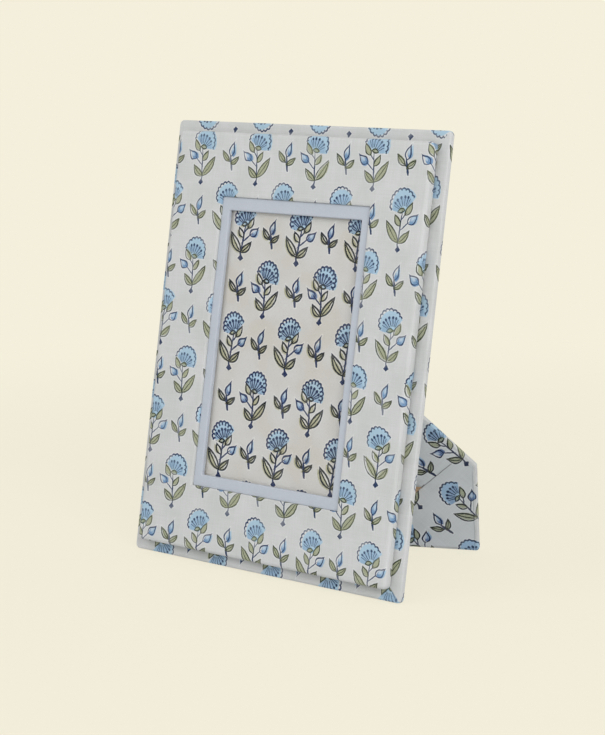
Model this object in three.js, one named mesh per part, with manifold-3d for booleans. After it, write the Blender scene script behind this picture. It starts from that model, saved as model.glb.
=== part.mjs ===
// A free-standing picture frame covered in printed cotton. A thin back panel carries a thicker front panel
// with a window and a plain mat. The picture slides in from the top, behind a clear sheet. A diagonal easel
// strut on a cloth hinge, stopped by a ribbon, lets the frame stand upright or on its side.
// Millimetres and degrees. X runs to the right as seen from the front, Y to the back and Z up.
import * as THREE from "three";
import { mergeVertices } from "three/addons/utils/BufferGeometryUtils.js";
import Module from "manifold-3d";

const wasm = await Module();
wasm.setup();

// Cloth and glue
const clothThickness = 0.5;
const glueGap = 0.15;
const mitreGap = 0.4;
const mitreStart = 1.5;

// Back panel
const panelWidth = 184;
const panelHeight = 244;
const panelCornerRadius = 2.6;
const panelEdgeRadius = 1;
const backBoardThickness = 2.3;
const backTurnIn = 20;

// Front panel
const shownMargin = 6.3;
const frontCornerRadius = 3;
const frontEdgeRadius = 1.8;
const frontBoardThickness = 1.2;
const frontTurnIn = 16;
const windowBorder = 35.5;
const windowCornerRadius = 1.2;
const windowEdgeRadius = 0.4;
const windowTurnIn = 12;

// Mat inside the window
const matThickness = 1;
const matStep = 1.25;
const matSightWidth = 89.8;
const matSightHeight = 146.6;
const matSightBottom = 48.3;
const matCornerRadius = 0.6;
const matEdgeRadius = 0.8;

// Picture pocket
const pictureWidth = 101.6;
const pictureHeight = 152.4;
const pictureThickness = 0.35;
const pictureCornerRadius = 0.8;
const spacerThickness = 1.6;
const glazingThickness = 0.7;
const backingThickness = 0.7;
const backingBelowMouth = 2;
const pocketClearance = 1.2;
const pocketEndGap = 0.3;
const slideClearance = 0.2;

// Easel strut
const leanAngle = 11.2;
const strutDiagonal = 46;
const strutLength = 191;
const strutWidth = 76;
const strutCornerRadius = 2;
const strutEdgeRadius = 0.8;
const strutBoardThickness = 2;
const strutTurnIn = 12;
const strutTipInset = 0.5;
const liningMargin = 1.8;
const liningEdgeRadius = 0.2;

// Cloth hinge
const hingeStandOff = 0.9;
const hingeFaceGap = 0.3;
const hingeEndGap = 0.5;
const hingeLeafReach = 24;
const hingeLeafWidth = 70;
const hingeLeafCornerRadius = 1;

// Ribbon stay
const ribbonWidth = 16;
const ribbonThickness = 0.5;
const ribbonFrameReach = 126;
const ribbonStrutReach = 142;
const ribbonTuck = 0.3;
const slitLength = 1.6;
const slitClearance = 0.3;

// Facets and cutting
const cornerSteps = 6;
const edgeSteps = 4;
const sharpRadius = 0.05;
const cutBeyond = 1;

const lean = THREE.MathUtils.degToRad(leanAngle);
const diagonal = THREE.MathUtils.degToRad(strutDiagonal);
// With this opening the foot edge, square to the frame's bottom edge when folded, lies flat on the table.
const openAngle = 2 * Math.atan(Math.tan(lean) / Math.cos(diagonal));

// Levels of the layers, from the back panel's rear face towards the front
const backBoardRear = clothThickness + glueGap;
const backBoardFront = backBoardRear + backBoardThickness;
const panelFront = backBoardFront + glueGap + clothThickness;
const coverRear = panelFront + glueGap;
const spacerRear = coverRear + clothThickness + glueGap;
const spacerFront = spacerRear + spacerThickness;
const matRear = spacerFront + glueGap;
const matFront = matRear + matThickness;
const matFace = matFront + matStep;
const collarRear = matFront + glueGap;
const frontBoardRear = collarRear + clothThickness + glueGap;
const frontBoardFront = frontBoardRear + frontBoardThickness;
const coverInner = frontBoardFront + glueGap;
const coverFront = coverInner + clothThickness;
const glazingFront = matRear - glueGap;
const glazingRear = glazingFront - glazingThickness;
const pictureFront = glazingRear - slideClearance;
const pictureRear = pictureFront - pictureThickness;
const backingFront = pictureRear - glueGap;
const backingRear = backingFront - backingThickness;
const mouthTurnInFront = matRear - glueGap;
const mouthTurnInRear = mouthTurnInFront - clothThickness;

// Places that several pieces share
const layerInset = clothThickness + glueGap;
const frontEdge = Math.min(frontEdgeRadius, layerInset + frontBoardThickness - sharpRadius);
const windowInset = shownMargin + windowBorder;
const pictureBottom = (panelHeight - pictureHeight) / 2;
const pocketHalfWidth = pictureWidth / 2 + pocketClearance;
const frontTop = panelHeight - shownMargin;

// Corners of an upright rectangle centred on the frame, drawn in from the back panel's edges by the inset
function panelCorners(inset) {
  const half = panelWidth / 2 - inset;
  const top = panelHeight - inset;
  return [
    new THREE.Vector2(-half, inset),
    new THREE.Vector2(half, inset),
    new THREE.Vector2(half, top),
    new THREE.Vector2(-half, top),
  ];
}

function rectangleCorners(left, bottom, right, top) {
  return [
    new THREE.Vector2(left, bottom),
    new THREE.Vector2(right, bottom),
    new THREE.Vector2(right, top),
    new THREE.Vector2(left, top),
  ];
}

// The strut runs along X from its hinge. Its two foot edges meet in a square corner at the tip, one for each
// way up that the frame can stand.
function strutCorners() {
  const half = strutWidth / 2;
  return [
    new THREE.Vector2(hingeEndGap, -half),
    new THREE.Vector2(strutLength - half * Math.tan(diagonal), -half),
    new THREE.Vector2(strutLength, 0),
    new THREE.Vector2(strutLength - half / Math.tan(diagonal), half),
    new THREE.Vector2(hingeEndGap, half),
  ];
}

// How one corner of a convex outline turns: the direction and the angle of its arc, and the point that lies
// a given inset inside both of its edges
function cornerTurn(corners, i) {
  const corner = corners[i];
  const after = corners[(i + 1) % corners.length];
  const arriving = corner.clone().sub(corners.at(i - 1)).normalize();
  const leaving = after.clone().sub(corner).normalize();
  const inward = new THREE.Vector2(-arriving.y, arriving.x);
  const nextInward = new THREE.Vector2(-leaving.y, leaving.x);
  const cosine = inward.dot(nextInward);
  const middle = inward.clone().add(nextInward).divideScalar(1 + cosine);
  return {
    start: Math.atan2(-inward.y, -inward.x),
    sweep: Math.acos(cosine),
    inside: (inset) => corner.clone().addScaledVector(middle, inset),
  };
}

// A convex outline drawn in by the inset, with each corner as an arc
function softOutline(corners, radius, inset) {
  const arcRadius = Math.max(radius - inset, sharpRadius);
  return corners.flatMap((_, i) => {
    const { start, sweep, inside } = cornerTurn(corners, i);
    const centre = inside(inset + arcRadius);
    return Array.from({ length: cornerSteps + 1 }, (_, step) => {
      const angle = start + (sweep * step) / cornerSteps;
      return new THREE.Vector2(Math.cos(angle), Math.sin(angle)).multiplyScalar(arcRadius).add(centre);
    });
  });
}

// Levels and insets of a slab whose lower and upper edges are rounded
function softLevels(low, high, lowRadius, highRadius) {
  const round = (radius, level, side) =>
    Array.from({ length: edgeSteps + 1 }, (_, step) => {
      const angle = (Math.PI / 2) * (step / edgeSteps);
      return [level + side * radius * (1 - Math.cos(angle)), radius * (1 - Math.sin(angle))];
    });
  const lower = lowRadius > 0 ? round(lowRadius, low, 1) : [[low, 0]];
  const upper = highRadius > 0 ? round(highRadius, high, -1).reverse() : [[high, 0]];
  return [...lower, ...upper];
}

// A closed slab lofted through one outline at several levels
function loft(corners, radius, levels) {
  const rings = levels.map(([level, inset]) =>
    softOutline(corners, radius, inset).map((point) => [point.x, point.y, level]),
  );
  const count = rings[0].length;
  const indices = [];
  rings.slice(1).forEach((_, ring) => {
    for (let i = 0; i < count; i++) {
      const low = ring * count + i;
      const lowNext = ring * count + ((i + 1) % count);
      indices.push(low, lowNext, lowNext + count, low, lowNext + count, low + count);
    }
  });
  const last = (rings.length - 1) * count;
  for (let i = 1; i < count - 1; i++) {
    indices.push(0, i + 1, i);
    indices.push(last, last + i, last + i + 1);
  }
  const geometry = new THREE.BufferGeometry();
  geometry.setAttribute("position", new THREE.Float32BufferAttribute(rings.flat(2), 3));
  geometry.setIndex(indices);
  return geometry;
}

function slab(corners, radius, low, high, lowRadius = 0, highRadius = 0) {
  return loft(corners, radius, softLevels(low, high, lowRadius, highRadius));
}

function block(left, right, bottom, top, low, high) {
  const geometry = new THREE.BoxGeometry(right - left, top - bottom, high - low);
  return geometry.translate((left + right) / 2, (bottom + top) / 2, (low + high) / 2);
}

// A block that lies along the line between two points of a panel
function blockAlong(from, to, width, low, high) {
  const along = to.clone().sub(from);
  const half = along.length() / 2;
  const geometry = block(-half, half, -width / 2, width / 2, low, high);
  const middle = from.clone().add(to).divideScalar(2);
  return geometry.rotateZ(along.angle()).translate(middle.x, middle.y, 0);
}

// Where two turned-in flaps of cloth meet on the bisector of each corner
function mitres(corners, turnIn, low, high) {
  return corners.map((_, i) => {
    const { inside } = cornerTurn(corners, i);
    return blockAlong(inside(mitreStart), inside(turnIn + cutBeyond), mitreGap, low, high);
  });
}

// A section drawn in X and Z, extruded evenly to both sides of Y = 0
function crossExtrusion(points, width) {
  const shape = new THREE.Shape(points.map(([x, z]) => new THREE.Vector2(x, z)));
  const geometry = new THREE.ExtrudeGeometry(shape, { depth: width, bevelEnabled: false });
  return geometry.rotateX(Math.PI / 2).translate(0, width / 2, 0);
}

function solidOf(geometry) {
  const bare = geometry.clone();
  bare.deleteAttribute("normal");
  bare.deleteAttribute("uv");
  const merged = mergeVertices(bare);
  const vertProperties = merged.attributes.position.array;
  const triVerts = new Uint32Array(merged.index.array);
  return new wasm.Manifold(new wasm.Mesh({ numProp: 3, vertProperties, triVerts }));
}

function geometryOf(solid) {
  const { vertProperties, triVerts } = solid.getMesh();
  const geometry = new THREE.BufferGeometry();
  geometry.setAttribute("position", new THREE.BufferAttribute(vertProperties, 3));
  geometry.setIndex(new THREE.BufferAttribute(triVerts, 1));
  geometry.computeVertexNormals();
  return geometry;
}

const cut = (geometry, ...cutters) =>
  geometryOf(cutters.reduce((solid, cutter) => solid.subtract(solidOf(cutter)), solidOf(geometry)));

const join = (geometry, ...others) =>
  geometryOf(others.reduce((solid, other) => solid.add(solidOf(other)), solidOf(geometry)));

const common = (geometry, other) => geometryOf(solidOf(geometry).intersect(solidOf(other)));

const finish = (color, roughness) => new THREE.MeshStandardMaterial({ color, roughness, metalness: 0 });
const printedCotton = finish(0xd3d2d0, 0.9);
const greyCard = finish(0xa59d8f, 0.95);
const lavenderMat = finish(0xbcc3d1, 0.85);
const printedCard = finish(0xd8cdb9, 0.7);
const brownCard = finish(0x9c8a70, 0.95);
const tanRibbon = finish(0xa67c4e, 0.8);
const clearSheet = finish(0xeef3f5, 0.08);
clearSheet.transparent = true;
clearSheet.opacity = 0.2;

function piece(name, geometry, material) {
  const mesh = new THREE.Mesh(geometry, material);
  mesh.name = name;
  return mesh;
}

// Outline of the layers inside the front panel's cloth, for one range of levels
function frontLayer(low, high, highRadius = 0) {
  const corners = panelCorners(shownMargin + layerInset);
  return slab(corners, frontCornerRadius - layerInset, low, high, 0, highRadius);
}

function windowHole(grow, low, high) {
  return slab(panelCorners(windowInset - grow), windowCornerRadius + grow, low, high);
}

// Card of the back panel
function backBoard() {
  const edge = Math.max(panelEdgeRadius - layerInset, 0);
  const corners = panelCorners(layerInset);
  return slab(corners, panelCornerRadius - layerInset, backBoardRear, backBoardFront, edge, edge);
}

// Cloth wrapped round the back panel's card from behind and turned in over its front
function backCover() {
  const skin = slab(panelCorners(0), panelCornerRadius, 0, panelFront, panelEdgeRadius, panelEdgeRadius);
  const innerEdge = Math.max(panelEdgeRadius - clothThickness, 0);
  const room = slab(
    panelCorners(clothThickness),
    panelCornerRadius - clothThickness,
    clothThickness,
    panelFront - clothThickness,
    innerEdge,
    innerEdge,
  );
  const betweenTurnIns = slab(
    panelCorners(backTurnIn),
    panelCornerRadius,
    backBoardFront,
    panelFront + cutBeyond,
  );
  const folds = mitres(panelCorners(0), backTurnIn, backBoardFront, panelFront + cutBeyond);
  const slit = ribbonSlit(ribbonFrameReach, -cutBeyond, backBoardRear);
  slit.rotateZ(diagonal - Math.PI / 2).translate(hingeX, hingeY, 0);
  return cut(skin, room, betweenTurnIns, ...folds, slit);
}

// A narrow slit across the strut's middle line, at a distance from the hinge
function ribbonSlit(reach, low, high) {
  const half = ribbonWidth / 2 + slitClearance;
  return block(reach - slitLength / 2, reach + slitLength / 2, -half, half, low, high);
}

// Card ring of the front panel, with its outer front edge eased under the cloth
function frontBoard() {
  const blank = frontLayer(frontBoardRear, frontBoardFront, Math.max(frontEdge - layerInset, 0));
  return cut(blank, windowHole(layerInset, frontBoardRear - cutBeyond, frontBoardFront + cutBeyond));
}

// Cloth of the front panel: its face, its walls, the turn-in behind its outer edge, the turn-in round the
// window, and the turn-in over the mouth of the picture pocket
function frontCover() {
  const skin = slab(
    panelCorners(shownMargin),
    frontCornerRadius,
    coverRear,
    coverFront,
    clothThickness,
    frontEdge,
  );
  const room = slab(
    panelCorners(shownMargin + clothThickness),
    frontCornerRadius - clothThickness,
    coverRear + clothThickness,
    coverInner,
    0,
    Math.max(frontEdge - clothThickness, 0),
  );
  const betweenTurnIns = slab(
    panelCorners(shownMargin + frontTurnIn),
    frontCornerRadius,
    coverRear - cutBeyond,
    spacerRear,
  );
  const folds = mitres(panelCorners(shownMargin), frontTurnIn, coverRear - cutBeyond, spacerRear);
  const mouthBottom = frontTop - clothThickness - frontTurnIn - cutBeyond;
  const mouth = block(
    -pocketHalfWidth,
    pocketHalfWidth,
    mouthBottom,
    frontTop + cutBeyond,
    coverRear - cutBeyond,
    mouthTurnInRear,
  );
  const mouthTurnIn = block(
    -pocketHalfWidth + pocketEndGap,
    pocketHalfWidth - pocketEndGap,
    frontTop - frontTurnIn,
    frontTop - clothThickness / 2,
    mouthTurnInRear,
    mouthTurnInFront,
  );
  const collar = windowHole(clothThickness, collarRear, coverInner + clothThickness / 2);
  const flare = softLevels(collarRear - cutBeyond, coverFront, 0, windowEdgeRadius);
  const opening = loft(panelCorners(windowInset), windowCornerRadius, [
    ...flare.map(([level, inset]) => [level, -inset]),
    [coverFront + cutBeyond, -windowEdgeRadius],
  ]);
  const wrap = cut(skin, room, betweenTurnIns, ...folds, mouth);
  return cut(join(wrap, mouthTurnIn, collar, windowFlaps()), opening);
}

// Four flaps of cloth turned out behind the window's edges. The cloth is snipped into each corner, so their
// ends run back at half a right angle.
function windowFlaps() {
  const corners = panelCorners(windowInset);
  const snips = corners.map((_, i) => {
    const { inside } = cornerTurn(corners, i);
    const from = inside(-clothThickness);
    const to = inside(-windowTurnIn - cutBeyond);
    return blockAlong(from, to, 3 * windowTurnIn, collarRear - cutBeyond, frontBoardRear);
  });
  return cut(windowHole(windowTurnIn, collarRear, collarRear + clothThickness), ...snips);
}

// Plain mat: a full sheet behind the front card, with a step that stands up into the window and a softly
// rounded edge round the picture
function slipMat() {
  const step = loft(panelCorners(windowInset), windowCornerRadius, [
    [matRear, glueGap],
    [matFace, glueGap],
  ]);
  const half = matSightWidth / 2;
  const corners = rectangleCorners(-half, matSightBottom, half, matSightBottom + matSightHeight);
  const flare = softLevels(matRear - cutBeyond, matFace, 0, matEdgeRadius);
  const sight = loft(corners, matCornerRadius, [
    ...flare.map(([level, inset]) => [level, -inset]),
    [matFace + cutBeyond, -matEdgeRadius],
  ]);
  return cut(join(frontLayer(matRear, matFront), step), sight);
}

// Card strips round three sides of the picture pocket
function spacer(left, right, top) {
  return common(
    frontLayer(spacerRear, spacerFront),
    block(left, right, 0, top, spacerRear - cutBeyond, spacerFront + cutBeyond),
  );
}

function pocketSheet(bottom, top, low, high) {
  const half = pictureWidth / 2;
  return slab(rectangleCorners(-half, bottom, half, top), pictureCornerRadius, low, high);
}

// Levels of the strut's layers, from its inner face towards its back
const liningFront = -hingeFaceGap;
const liningRear = liningFront - clothThickness;
const strutFront = liningRear - glueGap;
const strutBoardFront = strutFront - layerInset;
const strutBoardRear = strutBoardFront - strutBoardThickness;
const strutRear = strutBoardRear - layerInset;

// The hinge line's middle, placed so that the folded tip lies in the frame's corner and the open foot edge
// comes down level with the frame's own bottom edge
const edgeLift = (radius) => radius * (Math.cos(lean) + Math.sin(lean) - 1);
const openReach = strutLength * Math.cos(openAngle) + strutFront * Math.sin(openAngle);
const openDepth = strutFront * Math.cos(openAngle) - strutLength * Math.sin(openAngle) - hingeStandOff;
const footLift = edgeLift(panelEdgeRadius) - edgeLift(strutEdgeRadius);
const hingeX = panelWidth / 2 - strutTipInset - strutLength * Math.sin(diagonal);
const hingeY = (footLift - openDepth * Math.sin(lean)) / Math.cos(lean) + openReach * Math.cos(diagonal);

function strutBoard() {
  return loft(strutCorners(), strutCornerRadius, [
    [strutBoardRear, layerInset],
    [strutBoardFront, layerInset],
  ]);
}

// Cloth over the strut's back, wrapped round its edges and turned in on its inner face
function strutCover() {
  const edge = strutEdgeRadius;
  const skin = slab(strutCorners(), strutCornerRadius, strutRear, strutFront, edge, edge);
  const innerEdge = Math.max(strutEdgeRadius - clothThickness, 0);
  const roomLow = strutRear + clothThickness;
  const roomHigh = strutFront - clothThickness;
  const roomLevels = softLevels(roomLow, roomHigh, innerEdge, innerEdge);
  const room = loft(
    strutCorners(),
    strutCornerRadius,
    roomLevels.map(([level, inset]) => [level, inset + clothThickness]),
  );
  const betweenTurnIns = loft(strutCorners(), strutCornerRadius, [
    [strutBoardFront, strutTurnIn],
    [strutFront + cutBeyond, strutTurnIn],
  ]);
  const folds = mitres(strutCorners(), strutTurnIn, strutBoardFront, strutFront + cutBeyond);
  return cut(skin, room, betweenTurnIns, ...folds);
}

// Cloth on the strut's inner face, cut a little small, with the slit that the ribbon goes through
function strutLining() {
  const levels = softLevels(liningRear, liningFront, 0, liningEdgeRadius);
  const sheet = loft(
    strutCorners(),
    strutCornerRadius,
    levels.map(([level, inset]) => [level, inset + liningMargin]),
  );
  return cut(sheet, ribbonSlit(ribbonStrutReach, liningRear - cutBeyond, liningFront + cutBeyond));
}

function hingeLeafFrame() {
  const half = hingeLeafWidth / 2;
  const low = hingeStandOff - glueGap - clothThickness;
  const corners = rectangleCorners(-hingeLeafReach, -half, -hingeEndGap, half);
  return slab(corners, hingeLeafCornerRadius, low, low + clothThickness);
}

// The strut's leaf lies on its back and turns down over its hinge end
function hingeLeafStrut() {
  const underside = strutRear - glueGap;
  const top = underside - clothThickness;
  const endFace = hingeEndGap - glueGap;
  const endOuter = endFace - clothThickness;
  const section = [
    [hingeLeafReach, underside],
    [endFace, underside],
    [endFace, liningFront],
    [endOuter, liningFront],
    [endOuter, top],
    [hingeLeafReach, top],
  ];
  return crossExtrusion(section, hingeLeafWidth);
}

// Taut ribbon between the slits in the back panel's cloth and in the strut's lining
function stayRibbon() {
  const tucked = liningFront - ribbonTuck;
  const onFrame = new THREE.Vector2(ribbonFrameReach, hingeStandOff + ribbonTuck);
  const onStrut = new THREE.Vector2(
    ribbonStrutReach * Math.cos(openAngle) + tucked * Math.sin(openAngle),
    tucked * Math.cos(openAngle) - ribbonStrutReach * Math.sin(openAngle),
  );
  const along = onStrut.clone().sub(onFrame).normalize();
  const side = new THREE.Vector2(-along.y, along.x).multiplyScalar(ribbonThickness / 2);
  const section = [
    onFrame.clone().add(side),
    onFrame.clone().sub(side),
    onStrut.clone().sub(side),
    onStrut.clone().add(side),
  ];
  return crossExtrusion(
    section.map((point) => [point.x, point.y]),
    ribbonWidth,
  );
}

const strut = new THREE.Group();
strut.rotation.y = openAngle;
strut.add(
  piece("strut_board", strutBoard(), greyCard),
  piece("strut_cover", strutCover(), printedCotton),
  piece("strut_lining", strutLining(), printedCotton),
  piece("hinge_leaf_strut", hingeLeafStrut(), printedCotton),
);

const hinge = new THREE.Group();
hinge.position.set(hingeX, hingeY, -hingeStandOff);
hinge.rotation.z = diagonal - Math.PI / 2;
hinge.add(
  strut,
  piece("hinge_leaf_frame", hingeLeafFrame(), printedCotton),
  piece("stay_ribbon", stayRibbon(), tanRibbon),
);

const spacerSide = panelWidth / 2;
const bottomSide = pocketHalfWidth - glueGap;
const pocketBottom = pictureBottom - pocketEndGap;
const glazingTop = pictureBottom + pictureHeight;
const backingTop = frontTop - backingBelowMouth;

const panel = new THREE.Group();
panel.rotation.x = Math.PI / 2 - lean;
panel.add(
  hinge,
  piece("back_board", backBoard(), greyCard),
  piece("back_cover", backCover(), printedCotton),
  piece("front_board", frontBoard(), greyCard),
  piece("front_cover", frontCover(), printedCotton),
  piece("slip_mat", slipMat(), lavenderMat),
  piece("spacer_left", spacer(-spacerSide, -pocketHalfWidth, panelHeight), greyCard),
  piece("spacer_right", spacer(pocketHalfWidth, spacerSide, panelHeight), greyCard),
  piece("spacer_bottom", spacer(-bottomSide, bottomSide, pocketBottom), greyCard),
  piece("glazing", pocketSheet(pictureBottom, glazingTop, glazingRear, glazingFront), clearSheet),
  piece("picture_print", pocketSheet(pictureBottom, glazingTop, pictureRear, pictureFront), printedCard),
  piece("backing_card", pocketSheet(pictureBottom, backingTop, backingRear, backingFront), brownCard),
);

// The frame stands on the table, centred over the origin.
const standing = new THREE.Group();
standing.add(panel);
const reach = new THREE.Box3().setFromObject(standing, true);
const middle = reach.getCenter(new THREE.Vector3());
standing.position.set(-middle.x, -middle.y, -reach.min.z);

const pictureFrame = new THREE.Group();
pictureFrame.name = "picture_frame";
pictureFrame.add(standing);

export default pictureFrame;
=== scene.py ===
"""Looks of a cloth-covered picture frame with an easel strut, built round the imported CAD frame."""

import logging
import math
from dataclasses import dataclass
from enum import Enum
from typing import Callable, Iterable, Optional, Sequence, Union

import bmesh
import bpy
from mathutils import Matrix, Vector, noise


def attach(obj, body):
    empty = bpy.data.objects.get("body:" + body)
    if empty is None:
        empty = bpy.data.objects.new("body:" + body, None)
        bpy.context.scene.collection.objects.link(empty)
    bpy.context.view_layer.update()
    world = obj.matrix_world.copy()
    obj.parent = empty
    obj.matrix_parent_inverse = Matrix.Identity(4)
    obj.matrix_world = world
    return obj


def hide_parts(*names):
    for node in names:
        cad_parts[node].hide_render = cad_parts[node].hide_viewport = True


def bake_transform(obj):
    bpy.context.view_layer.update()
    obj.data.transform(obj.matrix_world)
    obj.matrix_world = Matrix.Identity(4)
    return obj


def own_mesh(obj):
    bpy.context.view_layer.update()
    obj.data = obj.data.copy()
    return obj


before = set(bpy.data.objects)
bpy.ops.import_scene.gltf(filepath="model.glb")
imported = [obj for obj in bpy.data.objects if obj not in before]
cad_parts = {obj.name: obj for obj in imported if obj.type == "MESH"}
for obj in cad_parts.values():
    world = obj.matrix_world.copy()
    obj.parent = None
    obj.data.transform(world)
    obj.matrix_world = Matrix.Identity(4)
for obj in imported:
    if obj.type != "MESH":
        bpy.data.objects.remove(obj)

LOG = logging.getLogger("picture_frame")
MM = 0.001
CLOTH_MAP = "cloth_mm"

Point2 = tuple[float, float]
Point3 = tuple[float, float, float]
Colour = tuple[float, float, float, float]
Tree = bpy.types.NodeTree
Node = bpy.types.Node
Socket = bpy.types.NodeSocket
Piece = bpy.types.Object


def srgb(text: str) -> Colour:
    """Turns a written colour into a linear one.

    Args:
        text: six hexadecimal digits, as on a paint card.

    Returns:
        The linear colour with full alpha.
    """
    parts = [int(text[i:i + 2], 16) / 255 for i in (0, 2, 4)]
    linear = [c / 12.92 if c <= 0.04045 else ((c + 0.055) / 1.055) ** 2.4 for c in parts]
    return (linear[0], linear[1], linear[2], 1.0)


# Places: the leaning panel, and the strut on its hinge


@dataclass(frozen=True)
class Placing:
    """Turns millimetres in one piece's own axes into metres in the shared frame."""

    matrix: Matrix

    def point(self, x: float, y: float, z: float) -> Vector:
        """Gives the place of one point, in metres."""
        return self.matrix @ Vector((x, y, z)) * MM

    def direction(self, x: float, y: float, z: float) -> Vector:
        """Gives a direction in the shared frame."""
        return (self.matrix.to_3x3() @ Vector((x, y, z))).normalized()


@dataclass(frozen=True)
class Stance:
    """How the frame stands: its lean, its hinge line and the strut's opening."""

    lean: float = math.radians(11.2)
    foot: Point3 = (0.0, -49.40184, -0.19042)
    hinge_at: Point3 = (-45.8939, 132.7056, -0.9)
    diagonal: float = math.radians(-44.0)
    opening: float = math.radians(31.8193)

    def panel(self) -> Placing:
        """Gives the panel's axes: X to the right, Y up the panel, Z to the front."""
        tilt = Matrix.Rotation(math.pi / 2 - self.lean, 4, "X")
        return Placing(Matrix.Translation(self.foot) @ tilt)

    def hinge(self) -> Placing:
        """Gives the hinge's axes: X along the folded strut, Y along the hinge line, Z to the panel."""
        turn = Matrix.Translation(self.hinge_at) @ Matrix.Rotation(self.diagonal, 4, "Z")
        return Placing(self.panel().matrix @ turn)

    def strut(self) -> Placing:
        """Gives the open strut's axes: X along it, Y along the hinge line, Z to the panel."""
        return Placing(self.hinge().matrix @ Matrix.Rotation(self.opening, 4, "Y"))

    def on_strut(self, x: float, z: float) -> Point2:
        """Gives the place across the hinge line of a point on the open strut."""
        c, s = math.cos(self.opening), math.sin(self.opening)
        return (x * c + z * s, z * c - x * s)


STANCE = Stance()


# Node trees: values that arithmetic turns into nodes


Term = Union["Wire", float]


def math_method(operation: str) -> Callable[..., "Wire"]:
    """Makes a method of Wire that adds one Math node.

    Args:
        operation: the node's operation.

    Returns:
        The method, which takes the node's further inputs and gives its result.
    """
    def method(wire: "Wire", *others: Term) -> "Wire":
        """Adds the node, with this value as its first input."""
        node = wire.tree.nodes.new("ShaderNodeMath")
        node.operation = operation
        for socket, value in zip(node.inputs, (wire, *others)):
            plug(wire.tree, value, socket)
        return Wire(wire.tree, node.outputs[0])

    return method


class Wire:
    """A value in a node tree. Arithmetic on it adds Math nodes to the tree."""

    __add__ = math_method("ADD")
    __sub__ = math_method("SUBTRACT")
    __mul__ = math_method("MULTIPLY")
    __truediv__ = math_method("DIVIDE")
    times_plus = math_method("MULTIPLY_ADD")
    least = math_method("MINIMUM")
    most = math_method("MAXIMUM")
    below = math_method("LESS_THAN")
    remainder = math_method("FLOORED_MODULO")
    wrapped = math_method("WRAP")  # takes the high end, then the low one
    angle_over = math_method("ARCTAN2")
    size = math_method("ABSOLUTE")
    floor = math_method("FLOOR")
    rounded = math_method("ROUND")
    root = math_method("SQRT")
    cosine = math_method("COSINE")
    sine = math_method("SINE")

    def __init__(self, tree: Tree, source: Union[Socket, float]) -> None:
        """Holds an output socket or a plain number."""
        self.tree = tree
        self.source = source

    def eased(self, start: float, end: float, low: float = 0.0, high: float = 1.0) -> "Wire":
        """Maps start..end smoothly to low..high.

        Args:
            start: the value that gives low.
            end: the value that gives high.
            low: result at start.
            high: result at end.

        Returns:
            The mapped value.
        """
        node = self.tree.nodes.new("ShaderNodeMapRange")
        node.interpolation_type = "SMOOTHSTEP"
        plug(self.tree, self, node.inputs["Value"])
        for name, value in (("From Min", start), ("From Max", end), ("To Min", low), ("To Max", high)):
            node.inputs[name].default_value = value
        return Wire(self.tree, node.outputs["Result"])

    def split(self) -> tuple["Wire", "Wire"]:
        """Gives a vector's first two parts."""
        node = self.tree.nodes.new("ShaderNodeSeparateXYZ")
        plug(self.tree, self, node.inputs[0])
        return Wire(self.tree, node.outputs[0]), Wire(self.tree, node.outputs[1])

    def placed(self, at: Point2, turn: float, scale: Point2) -> "Wire":
        """Gives a vector in the axes of a turned and scaled box.

        Args:
            at: the box's middle.
            turn: its turn, in radians.
            scale: its half sides.

        Returns:
            The vector in the box's own units.
        """
        node = self.tree.nodes.new("ShaderNodeMapping")
        node.vector_type = "TEXTURE"
        plug(self.tree, self, node.inputs["Vector"])
        node.inputs["Location"].default_value = (at[0], at[1], 0)
        node.inputs["Rotation"].default_value = (0, 0, turn)
        node.inputs["Scale"].default_value = (scale[0], scale[1], 1)
        return Wire(self.tree, node.outputs[0])

    def speckled(self, scale: float, detail: float = 2.0, colour: bool = False) -> "Wire":
        """Gives noise at this vector.

        Args:
            scale: waves per unit.
            detail: octaves.
            colour: gives three noises as a vector.

        Returns:
            Noise around one half.
        """
        node = self.tree.nodes.new("ShaderNodeTexNoise")
        plug(self.tree, self, node.inputs["Vector"])
        node.inputs["Scale"].default_value = scale
        node.inputs["Detail"].default_value = detail
        return Wire(self.tree, node.outputs["Color" if colour else "Fac"])

    def stretched(self, x: float, y: float, z: float = 1.0) -> "Wire":
        """Scales a vector's parts."""
        return vector_math(self.tree, "MULTIPLY", self, (x, y, z))

    def plus(self, other: "Value") -> "Wire":
        """Adds a vector."""
        return vector_math(self.tree, "ADD", self, other)

    def minus(self, other: "Value") -> "Wire":
        """Takes a vector away."""
        return vector_math(self.tree, "SUBTRACT", self, other)

    def drift(self, scale: float, detail: float = 0.0) -> "Wire":
        """Gives three noises around nought at this vector.

        Args:
            scale: waves per unit.
            detail: octaves.

        Returns:
            The noises, as a vector.
        """
        return self.speckled(scale, detail, True).minus((0.5, 0.5, 0.5))


Value = Union[Wire, float, Sequence[float]]


def plug(tree: Tree, value: Value, socket: Socket) -> None:
    """Puts a wire or a constant on a socket.

    Args:
        tree: the socket's tree.
        value: what it takes.
        socket: the input.
    """
    if isinstance(value, Wire):
        value = value.source
    if isinstance(value, Socket):
        tree.links.new(value, socket)
    else:
        socket.default_value = value


def vector_math(tree: Tree, operation: str, *values: Value) -> Wire:
    """Adds one Vector Math node.

    Args:
        tree: where it goes.
        operation: the node's operation.
        values: its inputs.

    Returns:
        Its result, a value for a dot product and a vector otherwise.
    """
    node = tree.nodes.new("ShaderNodeVectorMath")
    node.operation = operation
    for socket, value in zip(node.inputs, values):
        plug(tree, value, socket)
    return Wire(tree, node.outputs["Value" if operation == "DOT_PRODUCT" else "Vector"])


def combined(tree: Tree, *parts: Value) -> Wire:
    """Joins two or three values to a vector."""
    node = tree.nodes.new("ShaderNodeCombineXYZ")
    for socket, value in zip(node.inputs, parts):
        plug(tree, value, socket)
    return Wire(tree, node.outputs[0])


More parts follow.
